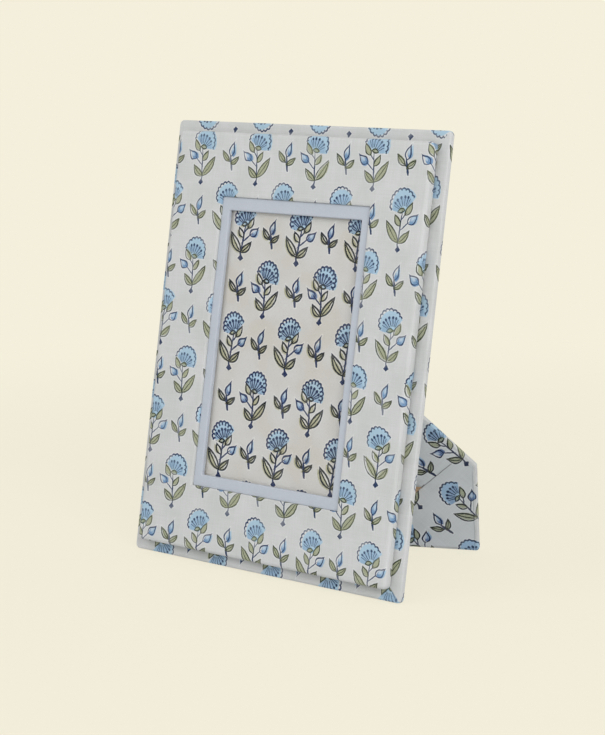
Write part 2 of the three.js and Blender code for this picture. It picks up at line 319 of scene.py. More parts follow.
def mixed(tree: Tree, share: Value, first: Value, second: Value, way: str = "MIX") -> Wire:
    """Mixes two colours.

    Args:
        tree: where the node goes.
        share: how much of the second.
        first: colour at 0.
        second: colour at 1.
        way: the blend type.

    Returns:
        The mixed colour.
    """
    node = tree.nodes.new("ShaderNodeMix")
    node.data_type = "RGBA"
    node.blend_type = way
    for socket, value in zip((node.inputs[0], node.inputs[6], node.inputs[7]), (share, first, second)):
        plug(tree, value, socket)
    return Wire(tree, node.outputs[2])


class Port(Enum):
    """Kinds of sockets that a node group has."""

    VALUE = "NodeSocketFloat"
    COLOUR = "NodeSocketColor"
    VECTOR = "NodeSocketVector"


class Effect:
    """A shader node group that is built once and placed in each material that wants it."""

    name: str = ""
    inputs: dict[str, Port] = {}
    outputs: dict[str, Port] = {}
    _made: dict[str, Tree] = {}

    def draw(self, tree: Tree, given: dict[str, Wire]) -> dict[str, Wire]:
        """Adds the group's nodes.

        Args:
            tree: the group's tree.
            given: its inputs by name.

        Returns:
            Its outputs by name.
        """
        raise NotImplementedError

    def tree(self) -> Tree:
        """Gives the group's tree, which the first call builds."""
        if self.name not in Effect._made:
            tree = bpy.data.node_groups.new(self.name, "ShaderNodeTree")
            for ports, way in ((self.inputs, "INPUT"), (self.outputs, "OUTPUT")):
                for title, port in ports.items():
                    tree.interface.new_socket(name=title, in_out=way, socket_type=port.value)
            inlet, outlet = tree.nodes.new("NodeGroupInput"), tree.nodes.new("NodeGroupOutput")
            given = {title: Wire(tree, inlet.outputs[title]) for title in self.inputs}
            for title, wire in self.draw(tree, given).items():
                plug(tree, wire, outlet.inputs[title])
            Effect._made[self.name] = tree
        return Effect._made[self.name]

    def place(self, tree: Tree, **values: Value) -> dict[str, Wire]:
        """Places the group in a material.

        Args:
            tree: the material's tree.
            values: inputs by name, with _ for a space.

        Returns:
            The outputs by name.
        """
        node = tree.nodes.new("ShaderNodeGroup")
        node.node_tree = self.tree()
        for title, value in values.items():
            plug(tree, value, node.inputs[title.replace("_", " ")])
        return {title: Wire(tree, node.outputs[title]) for title in self.outputs}


# The block print: flower sprays in staggered rows, with a small sprig between each two


@dataclass(frozen=True)
class Lens:
    """A pointed leaf, bud or stem from its base to its tip, in millimetres.

    Skew widens it towards its base, down to its thinnest share at the tip, and bend bows its middle line to
    the left. Its vein reaches that share of its half length both ways.
    """

    base: Point2
    tip: Point2
    half: float
    skew: float = 0.0
    bend: float = 0.0
    thinnest: float = 0.3
    vein_reach: float = 2 / 3

    def local(self, at: Wire) -> tuple[Wire, Wire, Wire]:
        """Gives the place along it, -1 to 1, that squared less 1, and the distance from its middle line."""
        run = (self.tip[0] - self.base[0], self.tip[1] - self.base[1])
        middle = ((self.tip[0] + self.base[0]) / 2, (self.tip[1] + self.base[1]) / 2)
        along, across = at.placed(middle, math.atan2(run[1], run[0]), (math.hypot(*run) / 2, 1.0)).split()
        past = along.times_plus(along, -1.0)
        if self.bend:
            across = past.times_plus(self.bend, across)
        return along, past, across.size()

    def distance(self, at: Wire) -> Wire:
        """Gives about how far a point is outside the rim, negative inside."""
        along, past, away = self.local(at)
        if not self.skew:
            return past.times_plus(self.half, away)
        width = along.times_plus(-self.skew * self.half, self.half).most(self.thinnest * self.half)
        return past.times_plus(width, away)

    def vein(self, at: Wire, width: float) -> Wire:
        """Gives the distance to the line along its middle."""
        along, _, away = self.local(at)
        return (away - width).most(along.size().times_plus(3.0, -3.0 * self.vein_reach))


def union(at: Wire, shapes: Iterable[Lens], start: Optional[Wire] = None) -> Wire:
    """Gives the distance to the nearest of several shapes.

    Args:
        at: the place.
        shapes: the shapes.
        start: a distance that joins them.

    Returns:
        The least distance.
    """
    best = start
    for shape in shapes:
        here = shape.distance(at)
        best = here if best is None else best.least(here)
    assert best is not None
    return best


@dataclass(frozen=True)
class Head:
    """How a row's flower heads sit: their centre, how they lean, and the point and slope of their base."""

    at: Point2
    lean: float
    foot: Point2
    slope: float

    def place(self, spray: Wire, narrow: float) -> tuple[Wire, Wire, Wire]:
        """Gives the place across and up the head, and how far below its base.

        Args:
            spray: place from the spray's foot.
            narrow: the head's width against its height.

        Returns:
            Across, up, and the distance below the base.
        """
        u, v = spray.placed(self.at, -self.lean, (narrow, 1.0)).split()
        return u, v, (u - self.foot[0]).size().times_plus(self.slope, self.foot[1]) - v


@dataclass(frozen=True)
class Block:
    """How a printing block inks: its soft edge, where the grain starves it, and how well it covers."""

    soft: Point2
    grain: Point2
    starved: float
    cover: float = 1.0

    def ink(self, distance: Wire, grain: Wire) -> Wire:
        """Gives the ink's strength.

        Args:
            distance: how far outside the block's shapes.
            grain: noise of the cloth.

        Returns:
            0 where bare, to 1.
        """
        return distance.eased(*self.soft) * grain.eased(*self.grain, self.starved, 1.0)


@dataclass(frozen=True)
class BlockPrint(Effect):
    """Indigo and olive flower sprays on a plain ground, as hand blocks print them.

    Lengths are in millimetres on the cloth, and shapes are placed from the foot of a spray or a sprig.
    """

    name: str = "block_print"
    repeat: float = 39.2
    row: float = 30.35
    stagger: float = 2.2
    first: float = -13.5
    sprig_at: Point2 = (20.6, 6.3)

    # Flower heads
    heads: tuple[Head, Head] = (Head((0.3, 21.3), math.radians(22.5), (0.0, -3.3), 0.3),
                                Head((-0.5, 21.9), math.radians(20.0), (1.6, -3.9), 0.52))
    head_size: float = 8.4
    head_narrow: float = 0.9
    scallops: float = 9.0
    scallop_depth: float = 0.7
    rim_half: float = 0.28
    tick_half: float = 0.14
    stamen_root: float = 4.0
    stamen_least: float = 0.5
    stamens: float = 2.8
    stamen_half: float = 0.06
    stamen_middle: float = 5.4
    stamen_reach: float = 2.1
    stamen_spread: float = 3.5
    knob_at: float = 7.7
    knob_size: float = 0.62
    knob_spread: float = 2.5
    heart_at: float = 5.8
    heart_fade: Point2 = (3.0, 0.8)
    heart_share: float = 0.4

    # Leaves, stems and buds
    leaves: tuple[Lens, ...] = (
        Lens((0.4, 2.9), (8.5, 13.5), 2.1, 0.2, -0.5), Lens((0.3, 2.8), (-6.1, 8.8), 1.75, 0.25, 0.6),
        Lens((-0.3, 11.3), (3.4, 16.7), 1.4, 0.25, -0.3), Lens((-2.7, 16.7), (-6.4, 22.7), 1.5, 0.3, 0.4),
        Lens((-2.2, 19.2), (1.9, 18.3), 1.05, 0.0, 0.2),
    )
    veined: int = 2
    stems: tuple[Lens, ...] = (
        Lens((0.2, -0.5), (0.7, 4.1), 0.22), Lens((0.5, 2.3), (-0.6, 9.8), 0.18),
        Lens((0.1, 6.0), (-0.9, 17.9), 0.18), Lens((-0.6, 9.1), (-5.0, 13.0), 0.14),
        Lens((-0.8, 14.4), (-3.1, 17.3), 0.12),
    )
    bud: Lens = Lens((-4.7, 12.8), (-10.1, 16.9), 1.95, 0.55, 0.4)
    glint: Lens = Lens((-6.1, 13.8), (-9.0, 16.0), 0.75)
    sprig_leaves: tuple[Lens, ...] = (
        Lens((-1.6, 4.9), (-6.5, 10.9), 1.45, 0.25, 0.4), Lens((-0.7, 3.5), (5.0, 7.7), 1.35, 0.25, -0.4),
    )
    sprig_stems: tuple[Lens, ...] = (Lens((0.9, -1.8), (-1.2, 9.0), 0.5), Lens((-0.2, 4.0), (-2.4, 6.0), 0.2))
    sprig_bud: Lens = Lens((-0.6, 7.9), (1.3, 15.3), 1.6, 0.5, 0.35)
    sprig_glint: Lens = Lens((-0.1, 10.0), (0.9, 13.8), 0.6)
    leaf_half: float = 0.19
    leaf_line_fade: Point2 = (0.55, 0.25)
    vein_half: float = 0.06
    sprig_vein_half: float = 0.02
    bud_half: float = 0.22
    bud_rim_inside: Point2 = (-1.3, -0.2)
    bud_rim_outside: Point2 = (0.6, 0.3)
    bud_rim_share: float = 0.7
    cup_reach: float = 3.4
    cup_round: float = 2.5
    cup_fade: Point2 = (0.4, -0.5)
    glint_fade: Point2 = (0.3, -0.4)
    glint_share: float = 0.4
    glint_colour: str = "E6EEF3"

    # The diamond under the foot: how it narrows sideways, upward and downward
    diamond_drop: float = 0.7
    diamond_size: float = 1.2
    diamond_side: float = 0.78
    diamond_up: float = 0.62
    diamond_down: float = 1.5

    # The three blocks, and how far each comes down off its place
    pen: Block = Block((0.16, -0.14), (0.2, 0.5), 0.9)
    blue_block: Block = Block((0.3, -0.3), (0.25, 0.6), 0.75, 0.92)
    olive_block: Block = Block((0.28, -0.28), (0.25, 0.62), 0.68, 0.95)
    blue_narrow: float = 0.92
    blue_short: float = 0.35
    blue_slip: Point2 = (0.85, -0.4)
    blue_drift: Point2 = (-3.4, 2.8)
    olive_drift: Point2 = (2.4, 2.4)
    strike_waves: float = 0.017
    line_waves: float = 0.55
    line_wobble: float = 0.55
    hand_waves: float = 0.03
    hand_drift: float = 2.2
    grain_waves: float = 1.6
    worn_waves: float = 0.09
    worn_fade: Point2 = (0.62, 0.38)
    halo_fade: Point2 = (0.9, 0.2)
    halo_share: float = 0.35
    halo_colour: str = "F2F3F3"
    wet_share: float = 0.6

    inputs = {"Vector": Port.VECTOR, "Ground": Port.COLOUR, "Blue": Port.COLOUR, "Deep Blue": Port.COLOUR,
              "Olive": Port.COLOUR, "Line": Port.COLOUR, "Leaf Line": Port.COLOUR, "Wear": Port.VALUE,
              "Weight": Port.VALUE, "Teeth": Port.VALUE, "Slip": Port.VECTOR}
    outputs = {"Color": Port.COLOUR, "Ink": Port.VALUE}

    def cell(self, at: Wire) -> tuple[Wire, Wire, Wire]:
        """Finds the spray that a point belongs to.

        Args:
            at: place on the cloth.

        Returns:
            The place from the spray's foot, across and up, and 1 in a row that is turned over.
        """
        x, y = at.split()
        level = (y / self.row).rounded()
        side = level.remainder(2.0).times_plus(-2.0, 1.0)
        wave = (x * (2 * math.pi / self.repeat)).cosine() * side
        own = level - y.below(level.times_plus(self.row, wave * -self.stagger))
        odd = own.remainder(2.0)
        across = odd.times_plus(-self.repeat / 2, x).wrapped(self.first + self.repeat, self.first)
        return across, own.times_plus(-self.row, y), odd

    def head(self, spray: Wire, odd: Wire, narrow: float) -> list[Wire]:
        """Gives the place on the flower head of the row at hand.

        Args:
            spray: place from the spray's foot.
            odd: 1 in every other row.
            narrow: the head's width against its height.

        Returns:
            Across, up, and the distance below the base.
        """
        even_row, odd_row = (head.place(spray, narrow) for head in self.heads)
        return [(b - a).times_plus(odd, a) for a, b in zip(even_row, odd_row)]

    def fan(self, spray: Wire, odd: Wire, teeth: Wire) -> tuple[Wire, Wire]:
        """Gives the flower head's lines and size.

        Args:
            spray: place from the spray's foot.
            odd: 1 in every other row.
            teeth: how far out the short lines between the scallops begin.

        Returns:
            Distance to the drawn lines, and distance from where the stamens would meet.
        """
        u, v, under = self.head(spray, odd, self.head_narrow)
        reach = u.times_plus(u, v * v).root()
        scallop = (u.angle_over(v) * self.scallops).cosine().size()
        edge = reach - scallop.times_plus(self.scallop_depth, self.head_size - self.scallop_depth)
        rim = (edge.size() - self.rim_half).most(under)
        ticks = (scallop * (reach / self.scallops) - self.tick_half).most(teeth - reach)
        ticks = ticks.most(edge.most(under))

        low = (v + self.stamen_root).most(self.stamen_least)
        far = u.times_plus(u, low * low).root()
        spoke = u / low * self.stamens
        beside = (spoke - spoke.rounded()).size() * low / self.stamens
        stamen = (beside - self.stamen_half).most((far - self.stamen_middle).size() - self.stamen_reach)
        stamen = stamen.most(spoke.size().times_plus(2.0, -2.0 * self.stamen_spread))
        past = far - self.knob_at
        knob = beside.times_plus(beside, past * past).root() - self.knob_size
        knob = knob.most(spoke.size().times_plus(2.0, -2.0 * self.knob_spread))
        return rim.least(ticks).least(stamen.least(knob).most(under)), far

    def cups(self, spray: Wire, sprig: Wire) -> Wire:
        """Gives 1 at the buds' bases, fading to their tips.

        Args:
            spray: place from the spray's foot.
            sprig: place from the sprig's foot.

        Returns:
            The share of the deeper blue.
        """
        shares = []
        for shape, at in ((self.bud, spray), (self.sprig_bud, sprig)):
            along, _, away = shape.local(at)
            near = away.most(along.size() * self.cup_round).below(self.cup_reach)
            shares.append(along.eased(*self.cup_fade) * near)
        return shares[0].most(shares[1])

    def lines(self, spray: Wire, sprig: Wire, rims: Wire) -> Wire:
        """Gives the distance to all that the pen block draws.

        Args:
            spray: place from the spray's foot.
            sprig: place from the sprig's foot.
            rims: distance to the outlines of heads, leaves and buds.

        Returns:
            The distance.
        """
        _, height = sprig.split()
        stems = union(sprig, self.sprig_stems).most(height * -1.0)
        found = union(spray, self.stems, rims.least(stems))
        for shape in self.leaves[:self.veined]:
            found = found.least(shape.vein(spray, self.vein_half))
        for shape in self.sprig_leaves:
            found = found.least(shape.vein(sprig, self.sprig_vein_half))
        x, y = spray.split()
        drop = y + self.diamond_drop
        upright = drop.most(drop * -self.diamond_down) * self.diamond_up
        return found.least(x.size().times_plus(self.diamond_side, upright) - self.diamond_size)

    def shifted(self, spray: Wire, sprig: Wire, side: Wire, by: Wire) -> tuple[Wire, Wire]:
        """Gives the places on a block that came down off the lines.

        Args:
            spray: place from the spray's foot.
            sprig: place from the sprig's foot.
            side: -1 in a row that is turned over.
            by: how far off, on the cloth.

        Returns:
            The places from the block's own spray and sprig.
        """
        x, y = spray.split()
        across, up = by.split()
        return combined(spray.tree, x - side * across, y - up), sprig.minus(by)

    def draw(self, tree: Tree, given: dict[str, Wire]) -> dict[str, Wire]:
        """Draws the lines, the blue and the olive as three blocks that don't quite meet."""
        cloth = given["Vector"]
        at = cloth.plus(cloth.drift(self.line_waves, 1.0).stretched(self.line_wobble, self.line_wobble, 0))
        at = at.plus(cloth.drift(self.hand_waves).stretched(self.hand_drift, self.hand_drift, 0))
        across, up, odd = self.cell(at)
        side = odd.times_plus(-2.0, 1.0)
        spray = combined(tree, across * side, up)
        sprig = combined(tree, across - self.sprig_at[0], up - self.sprig_at[1])

        head_lines, far = self.fan(spray, odd, given["Teeth"])
        leaf = union(sprig, self.sprig_leaves, union(spray, self.leaves))
        bud = union(sprig, (self.sprig_bud,), union(spray, (self.bud,)))
        glint = union(sprig, (self.sprig_glint,), union(spray, (self.glint,)))
        rims = (leaf.size() - self.leaf_half).least(bud.size() - self.bud_half).least(head_lines)
        lines = self.lines(spray, sprig, rims) - given["Weight"]

        strike = cloth.drift(self.strike_waves)
        blue_strike = strike.stretched(*self.blue_drift, 0).plus((*self.blue_slip, 0.0))
        blue_spray, blue_sprig = self.shifted(spray, sprig, side, blue_strike)
        u, v, under = self.head(blue_spray, odd, self.blue_narrow)
        head = (u.times_plus(u, v * v).root() - self.head_size + self.blue_short).most(under)
        blue = union(blue_sprig, (self.sprig_bud,), union(blue_spray, (self.bud,), head))
        olive_strike = strike.stretched(*self.olive_drift, 0).plus(given["Slip"])
        olive_spray, olive_sprig = self.shifted(spray, sprig, side, olive_strike)
        olive = union(olive_sprig, self.sprig_leaves, union(olive_spray, self.leaves))

        grain = cloth.speckled(self.grain_waves, 3.0)
        worn = cloth.speckled(self.worn_waves).eased(*self.worn_fade) * given["Wear"]
        ink = self.pen.ink(lines, grain) * worn.times_plus(-1.0, 1.0)
        blue_ink, olive_ink = self.blue_block.ink(blue, grain), self.olive_block.ink(olive, grain)
        heart = (far - self.heart_at).size().eased(*self.heart_fade) * self.heart_share
        bud_rim = bud.eased(*self.bud_rim_inside) * bud.eased(*self.bud_rim_outside) * self.bud_rim_share
        deep = heart.most(bud_rim).most(self.cups(spray, sprig))
        indigo = mixed(tree, deep, given["Blue"], given["Deep Blue"])
        shine = glint.eased(*self.glint_fade) * self.glint_share
        indigo = mixed(tree, shine, indigo, srgb(self.glint_colour))
        pen = mixed(tree, leaf.eased(*self.leaf_line_fade), given["Line"], given["Leaf Line"])
        halo = lines.eased(*self.halo_fade) * self.halo_share
        colour = mixed(tree, halo, given["Ground"], srgb(self.halo_colour))
        colour = mixed(tree, blue_ink * self.blue_block.cover, colour, indigo)
        colour = mixed(tree, olive_ink * self.olive_block.cover, colour, given["Olive"])
        colour = mixed(tree, ink, colour, pen)
        return {"Color": colour, "Ink": ink.most(blue_ink * self.wet_share).most(olive_ink * self.wet_share)}


@dataclass(frozen=True)
class Weave(Effect):
    """Plain weave of slubby threads, over and under."""

    name: str = "plain_weave"
    drift_waves: float = 0.25
    drift: float = 0.5
    slub_along: float = 0.06
    slub_across: float = 2.2
    slub_height: float = 0.35
    thread_height: float = 0.7
    shade_fade: Point2 = (0.7, 1.3)
    inputs = {"Vector": Port.VECTOR, "Thread": Port.VALUE}
    outputs = {"Height": Port.VALUE, "Shade": Port.VALUE}

    def draw(self, tree: Tree, given: dict[str, Wire]) -> dict[str, Wire]:
        """Draws the threads' height and their slight change of tone."""
        cloth = given["Vector"]
        x, y = cloth.plus(cloth.drift(self.drift_waves, 1.0).stretched(self.drift, self.drift, 0)).split()
        warp, weft = x / given["Thread"], y / given["Thread"]
        over = (warp.floor() + weft.floor()).remainder(2.0)
        warp_round = (warp * math.pi).sine().size()
        weft_round = (weft * math.pi).sine().size()
        height = over.times_plus(warp_round - weft_round, weft_round)
        slub = (cloth.stretched(self.slub_along, self.slub_across).speckled(1.0, 1.0)
                + cloth.stretched(self.slub_across, self.slub_along).speckled(1.0, 1.0))
        return {"Height": height.times_plus(self.thread_height, slub * self.slub_height),
                "Shade": slub.eased(*self.shade_fade)}


@dataclass(frozen=True)
class Grain(Effect):
    """Short fibres and soft blotches of paper or card."""

    name: str = "card_grain"
    fibre_length: float = 0.25
    cross_waves: float = 1.3
    blotch_waves: float = 0.04
    shade_fade: Point2 = (0.15, 0.36)
    inputs = {"Vector": Port.VECTOR, "Size": Port.VALUE}
    outputs = {"Height": Port.VALUE, "Shade": Port.VALUE}

    def draw(self, tree: Tree, given: dict[str, Wire]) -> dict[str, Wire]:
        """Draws the fibres' height and tone."""
        size = given["Size"]
        at = vector_math(tree, "MULTIPLY", given["Vector"], combined(tree, size, size, size))
        fibre = at.stretched(1.0, self.fibre_length).speckled(1.0, 4.0)
        cross = at.stretched(self.fibre_length, 1.0).speckled(self.cross_waves, 4.0)
        tone, blotch = (fibre * cross).eased(*self.shade_fade), at.speckled(self.blotch_waves)
        return {"Height": fibre + cross, "Shade": tone * 0.5 + blotch * 0.5}


PRINT = BlockPrint()
WEAVE = Weave()
GRAIN = Grain()


# Finishes


class Finish:
    """A material that is made once, from its own nodes."""

    name: str = ""
    roughness: float = 0.8

    def coat(self, tree: Tree, shader: Node) -> None:
        """Adds the finish's nodes.

        Args:
            tree: the material's tree.
            shader: its Principled BSDF.
        """
        raise NotImplementedError

    def material(self) -> bpy.types.Material:
        """Gives the material, which the first call makes."""
        title = f"{self.name}_finish"
        found = bpy.data.materials.get(title)
        if found is None:
            found = bpy.data.materials.new(title)
            found.use_nodes = True
            shader = found.node_tree.nodes["Principled BSDF"]
            shader.inputs["Roughness"].default_value = self.roughness
            self.coat(found.node_tree, shader)
        return found


def roughen(tree: Tree, shader: Node, height: Wire, depth: float) -> None:
    """Gives a surface its fine relief.

    Args:
        tree: the material's tree.
        shader: its shader.
        height: the relief, about 0 to 1.
        depth: what 1 stands for, in millimetres.
    """
    bump = tree.nodes.new("ShaderNodeBump")
    bump.inputs["Distance"].default_value = depth * MM
    plug(tree, height, bump.inputs["Height"])
    tree.links.new(bump.outputs[0], shader.inputs["Normal"])


def object_place(tree: Tree) -> Wire:
    """Gives the place on the object, in metres."""
    return Wire(tree, tree.nodes.new("ShaderNodeTexCoord").outputs["Object"])


def cloth_place(tree: Tree) -> Wire:
    """Gives the place on the opened-out cloth, in millimetres."""
    node = tree.nodes.new("ShaderNodeUVMap")
    node.uv_map = CLOTH_MAP
    return Wire(tree, node.outputs[0])


def panel_place(tree: Tree) -> Wire:
    """Gives the place on the panel's plane, in millimetres."""
    panel = STANCE.panel()
    from_foot = object_place(tree).minus(tuple(panel.point(0, 0, 0)))
    axes = (panel.direction(1, 0, 0), panel.direction(0, 1, 0))
    parts = [vector_math(tree, "DOT_PRODUCT", from_foot, tuple(axis)) * (1 / MM) for axis in axes]
    return combined(tree, *parts)


@dataclass(frozen=True)
class Inks:
    """The colours of one printing, and how heavy, how worn and how far off its place it is."""

    ground: str = "D5D6D5"
    blue: str = "A9CAE0"
    deep_blue: str = "5C8CBA"
    olive: str = "A4A884"
    line: str = "1E345A"
    leaf_line: str = "363F2A"
    wear: float = 0.25
    weight: float = 0.18
    teeth: float = 7.3
    slip: Point2 = (0.4, 0.1)

    def printed(self, tree: Tree, at: Wire) -> dict[str, Wire]:
        """Places the print in a material.

        Args:
            tree: the material's tree.
            at: place on the print.

        Returns:
            The print's outputs by name.
        """
        return PRINT.place(
            tree, Vector=at, Ground=srgb(self.ground), Blue=srgb(self.blue), Deep_Blue=srgb(self.deep_blue),
            Olive=srgb(self.olive), Line=srgb(self.line), Leaf_Line=srgb(self.leaf_line), Wear=self.wear,
            Weight=self.weight, Teeth=self.teeth, Slip=(*self.slip, 0.0))


@dataclass(frozen=True)
class CreaseShade:
    """A pressed line on the cloth, from one place on it to another, in millimetres, drawn as painted shade.
    """

    start: Point2
    end: Point2
    # How strong the painted shade along the line is, at most.
    depth: float
    waves: float = 0.2
    wobble: float = 0.5
    edge: Point2 = (0.4, 0.1)
    fade_in: Point2 = (0.0, 0.1)
    fade_out: Point2 = (1.0, 0.86)

    def share(self, at: Wire) -> Wire:
        """Gives how strong the painted shade along the line is, fading out at both ends."""
        run = (self.end[0] - self.start[0], self.end[1] - self.start[1])
        along, across = at.placed(self.start, math.atan2(run[1], run[0]), (math.hypot(*run), 1.0)).split()
        off = (at.speckled(self.waves, 1.0) - 0.5).times_plus(self.wobble, across)
        line = off.size().eased(*self.edge)
        return line * along.eased(*self.fade_in) * along.eased(*self.fade_out) * self.depth


@dataclass(frozen=True)
class PrintedCotton(Finish):
    """Block-printed cotton, off-white with pale indigo and olive sprays."""

    name: str = "printed_cotton"
    roughness: float = 0.88
    inked_smoother: float = 0.12
    inks: Inks = Inks()
    # Lines of painted shade where the cloth is creased.
    crease_shades: tuple[CreaseShade, ...] = ()
    thread: float = 0.42
    thread_depth: float = 0.07
    thread_shade: float = 0.1
    thread_tone: str = "A9A9A4"
    cloud_waves: float = 0.05
    cloud_fade: Point2 = (0.35, 0.65)
    cloudy_tone: str = "F8F9F8"
    # Colour multiplied in as painted shade along the creases.
    crease_shade_colour: str = "6E6C66"
    sheen: float = 0.12
    sheen_roughness: float = 0.5
    specular: float = 0.25

    def coat(self, tree: Tree, shader: Node) -> None:
        """Prints the cloth, then gives it its threads."""
        at = cloth_place(tree)
        threads = WEAVE.place(tree, Vector=at, Thread=self.thread)
        printed = self.inks.printed(tree, at)
        shade = threads["Shade"] * self.thread_shade
        toned = mixed(tree, shade, printed["Color"], srgb(self.thread_tone), "MULTIPLY")
        cloud = at.speckled(self.cloud_waves, 3.0).eased(*self.cloud_fade)
        toned = mixed(tree, cloud, toned, srgb(self.cloudy_tone), "MULTIPLY")
        # Painted shade: each crease darkens the cloth along its line.
        for crease in self.crease_shades:
            toned = mixed(tree, crease.share(at), toned, srgb(self.crease_shade_colour), "MULTIPLY")
        plug(tree, toned, shader.inputs["Base Color"])
        rough = printed["Ink"].eased(0.0, 1.0, self.roughness, self.roughness - self.inked_smoother)
        plug(tree, rough, shader.inputs["Roughness"])
        shader.inputs["Sheen Weight"].default_value = self.sheen
        shader.inputs["Sheen Roughness"].default_value = self.sheen_roughness
        shader.inputs["Specular IOR Level"].default_value = self.specular
        roughen(tree, shader, threads["Height"], self.thread_depth)


@dataclass(frozen=True)
class PrintedCard(Finish):
    """The insert: the same sprays in deeper colours on cream card."""

    name: str = "printed_card"
    roughness: float = 0.6
    inks: Inks = Inks("CECDCA", "A2C4DC", "3B679C", "ACAB89", "0A2350", "0A1212",
                      wear=0.06, weight=0.36, teeth=6.3, slip=(-1.0, -0.7))
    phase: Point2 = (-16.8, 139.5)
    scale: Point2 = (39.2 / 39.0, 60.7 / 60.0)
    fibre: float = 2.5
    fibre_depth: float = 0.02
    fibre_shade: float = 0.12
    fibre_tone: str = "B9AE9C"
    cloud_waves: float = 0.035
    cloud_fade: Point2 = (0.4, 0.65)
    cloudy_tone: str = "FAF7F1"
    specular: float = 0.12

    def coat(self, tree: Tree, shader: Node) -> None:
        """Prints the card from its place on the panel."""
        at = panel_place(tree).minus((*self.phase, 0.0)).stretched(*self.scale)
        printed = self.inks.printed(tree, at)
        fibres = GRAIN.place(tree, Vector=at, Size=self.fibre)
        shade = fibres["Shade"] * self.fibre_shade
        toned = mixed(tree, shade, printed["Color"], srgb(self.fibre_tone), "MULTIPLY")
        cloud = at.speckled(self.cloud_waves).eased(*self.cloud_fade)
        toned = mixed(tree, cloud, toned, srgb(self.cloudy_tone), "MULTIPLY")
        shader.inputs["Specular IOR Level"].default_value = self.specular
        plug(tree, toned, shader.inputs["Base Color"])
        roughen(tree, shader, fibres["Height"], self.fibre_depth)


@dataclass(frozen=True)
class Board(Finish):
    """Card or mat board of one colour, with its fibres."""

    name: str = "grey_card"
    colour: str = "9A9A95"
    shade: str = "7C7B74"
    roughness: float = 0.9
    fibre: float = 1800.0
    depth: float = 0.05

    def coat(self, tree: Tree, shader: Node) -> None:
        """Gives the card its fibres and blotches."""
        fibres = GRAIN.place(tree, Vector=object_place(tree), Size=self.fibre)
        toned = mixed(tree, fibres["Shade"], srgb(self.colour), srgb(self.shade))
        plug(tree, toned, shader.inputs["Base Color"])
        roughen(tree, shader, fibres["Height"], self.depth)


@dataclass(frozen=True)
class ClearSheet(Finish):
    """Thin clear plastic with faint wipe marks."""

    name: str = "clear_sheet"
    roughness: float = 0.06
    colour: str = "F4F7F8"
    wipes: Point3 = (20.0, 60.0, 8.0)
    wiped: Point2 = (0.3, 0.75)
    gloss: Point2 = (0.04, 0.16)
    veil: Point2 = (0.008, 0.02)
    index: float = 1.49

    def coat(self, tree: Tree, shader: Node) -> None:
        """Lets the insert show through a faint gloss."""
        marks = object_place(tree).stretched(*self.wipes).speckled(1.0, 3.0)
        plug(tree, marks.eased(*self.wiped, *self.gloss), shader.inputs["Roughness"])
        plug(tree, marks.eased(*self.wiped, *self.veil), shader.inputs["Alpha"])
        shader.inputs["Base Color"].default_value = srgb(self.colour)
        shader.inputs["IOR"].default_value = self.index


@dataclass(frozen=True)
class RibbonTape(Finish):
    """Tan ribbon with a ribbed weave."""

    name: str = "tan_ribbon"
    roughness: float = 0.7
    colour: str = "B08A5C"
    shade: str = "8E693F"
    thread: float = 0.35
    rib: float = 0.6
    depth: float = 0.08
    sheen: float = 0.2

    def coat(self, tree: Tree, shader: Node) -> None:
        """Gives the ribbon its ribs."""
        threads = WEAVE.place(tree, Vector=cloth_place(tree).stretched(1.0, self.rib), Thread=self.thread)
        toned = mixed(tree, threads["Shade"], srgb(self.colour), srgb(self.shade))
        plug(tree, toned, shader.inputs["Base Color"])
        shader.inputs["Sheen Weight"].default_value = self.sheen
        roughen(tree, shader, threads["Height"], self.depth)


COTTON = PrintedCotton()
LINING = PrintedCotton(
    "printed_lining",
    inks=Inks("D1D5D7", "95B8D6", "2C5892", "969D7E", "0A1F42", "161D1C", wear=0.08, weight=0.25, teeth=7.7),
    # The lining's creases are painted shade lines.
    crease_shades=(CreaseShade((-33.0, 7.0), (-4.0, 5.0), 0.7), CreaseShade((-36.5, -40.5), (1.5, -3.8), 0.3)),
)
INSERT = PrintedCard()
GREY_CARD = Board()
BROWN_CARD = Board("brown_card", "A98B66", "8A6C49")
LAVENDER = Board("lavender_mat", "C0C6CE", "B4BAC4", 0.75, 2600.0, 0.03)
CLEAR = ClearSheet()
TAN = RibbonTape()


# Cloth meshes


@dataclass(frozen=True)
class Strike:
    """A place where the block came down a little off the rest of the print."""

    at: Point2
    reach: Point2
    off: Point2

    def share(self, x: float, y: float) -> float:
        """Gives 1 in the middle of the place, fading to 0 at its reach."""
        dx = min(abs(x - self.at[0]) / self.reach[0], 1.0)
        dy = min(abs(y - self.at[1]) / self.reach[1], 1.0)
        return ((1.0 - dx * dx) * (1.0 - dy * dy)) ** 2


@dataclass(frozen=True)
class Lay:
    """How a piece of cloth lies on its print: which spray's foot is where, and which way is up."""

    foot: Point2
    turn: float = 0.0
    mirrored: bool = False
    scale: Point2 = (1.0, 1.0)
    strikes: tuple[Strike, ...] = ()

    def cloth(self, x: float, y: float) -> Point2:
        """Gives the place on the print of a point on the opened-out piece."""
        dx, dy = x - self.foot[0], y - self.foot[1]
        for strike in self.strikes:
            share = strike.share(x, y)
            dx, dy = dx - share * strike.off[0], dy - share * strike.off[1]
        if self.mirrored:
            dx = -dx
        c, s = math.cos(self.turn), math.sin(self.turn)
        return ((dx * c + dy * s) * self.scale[0], (dy * c - dx * s) * self.scale[1])


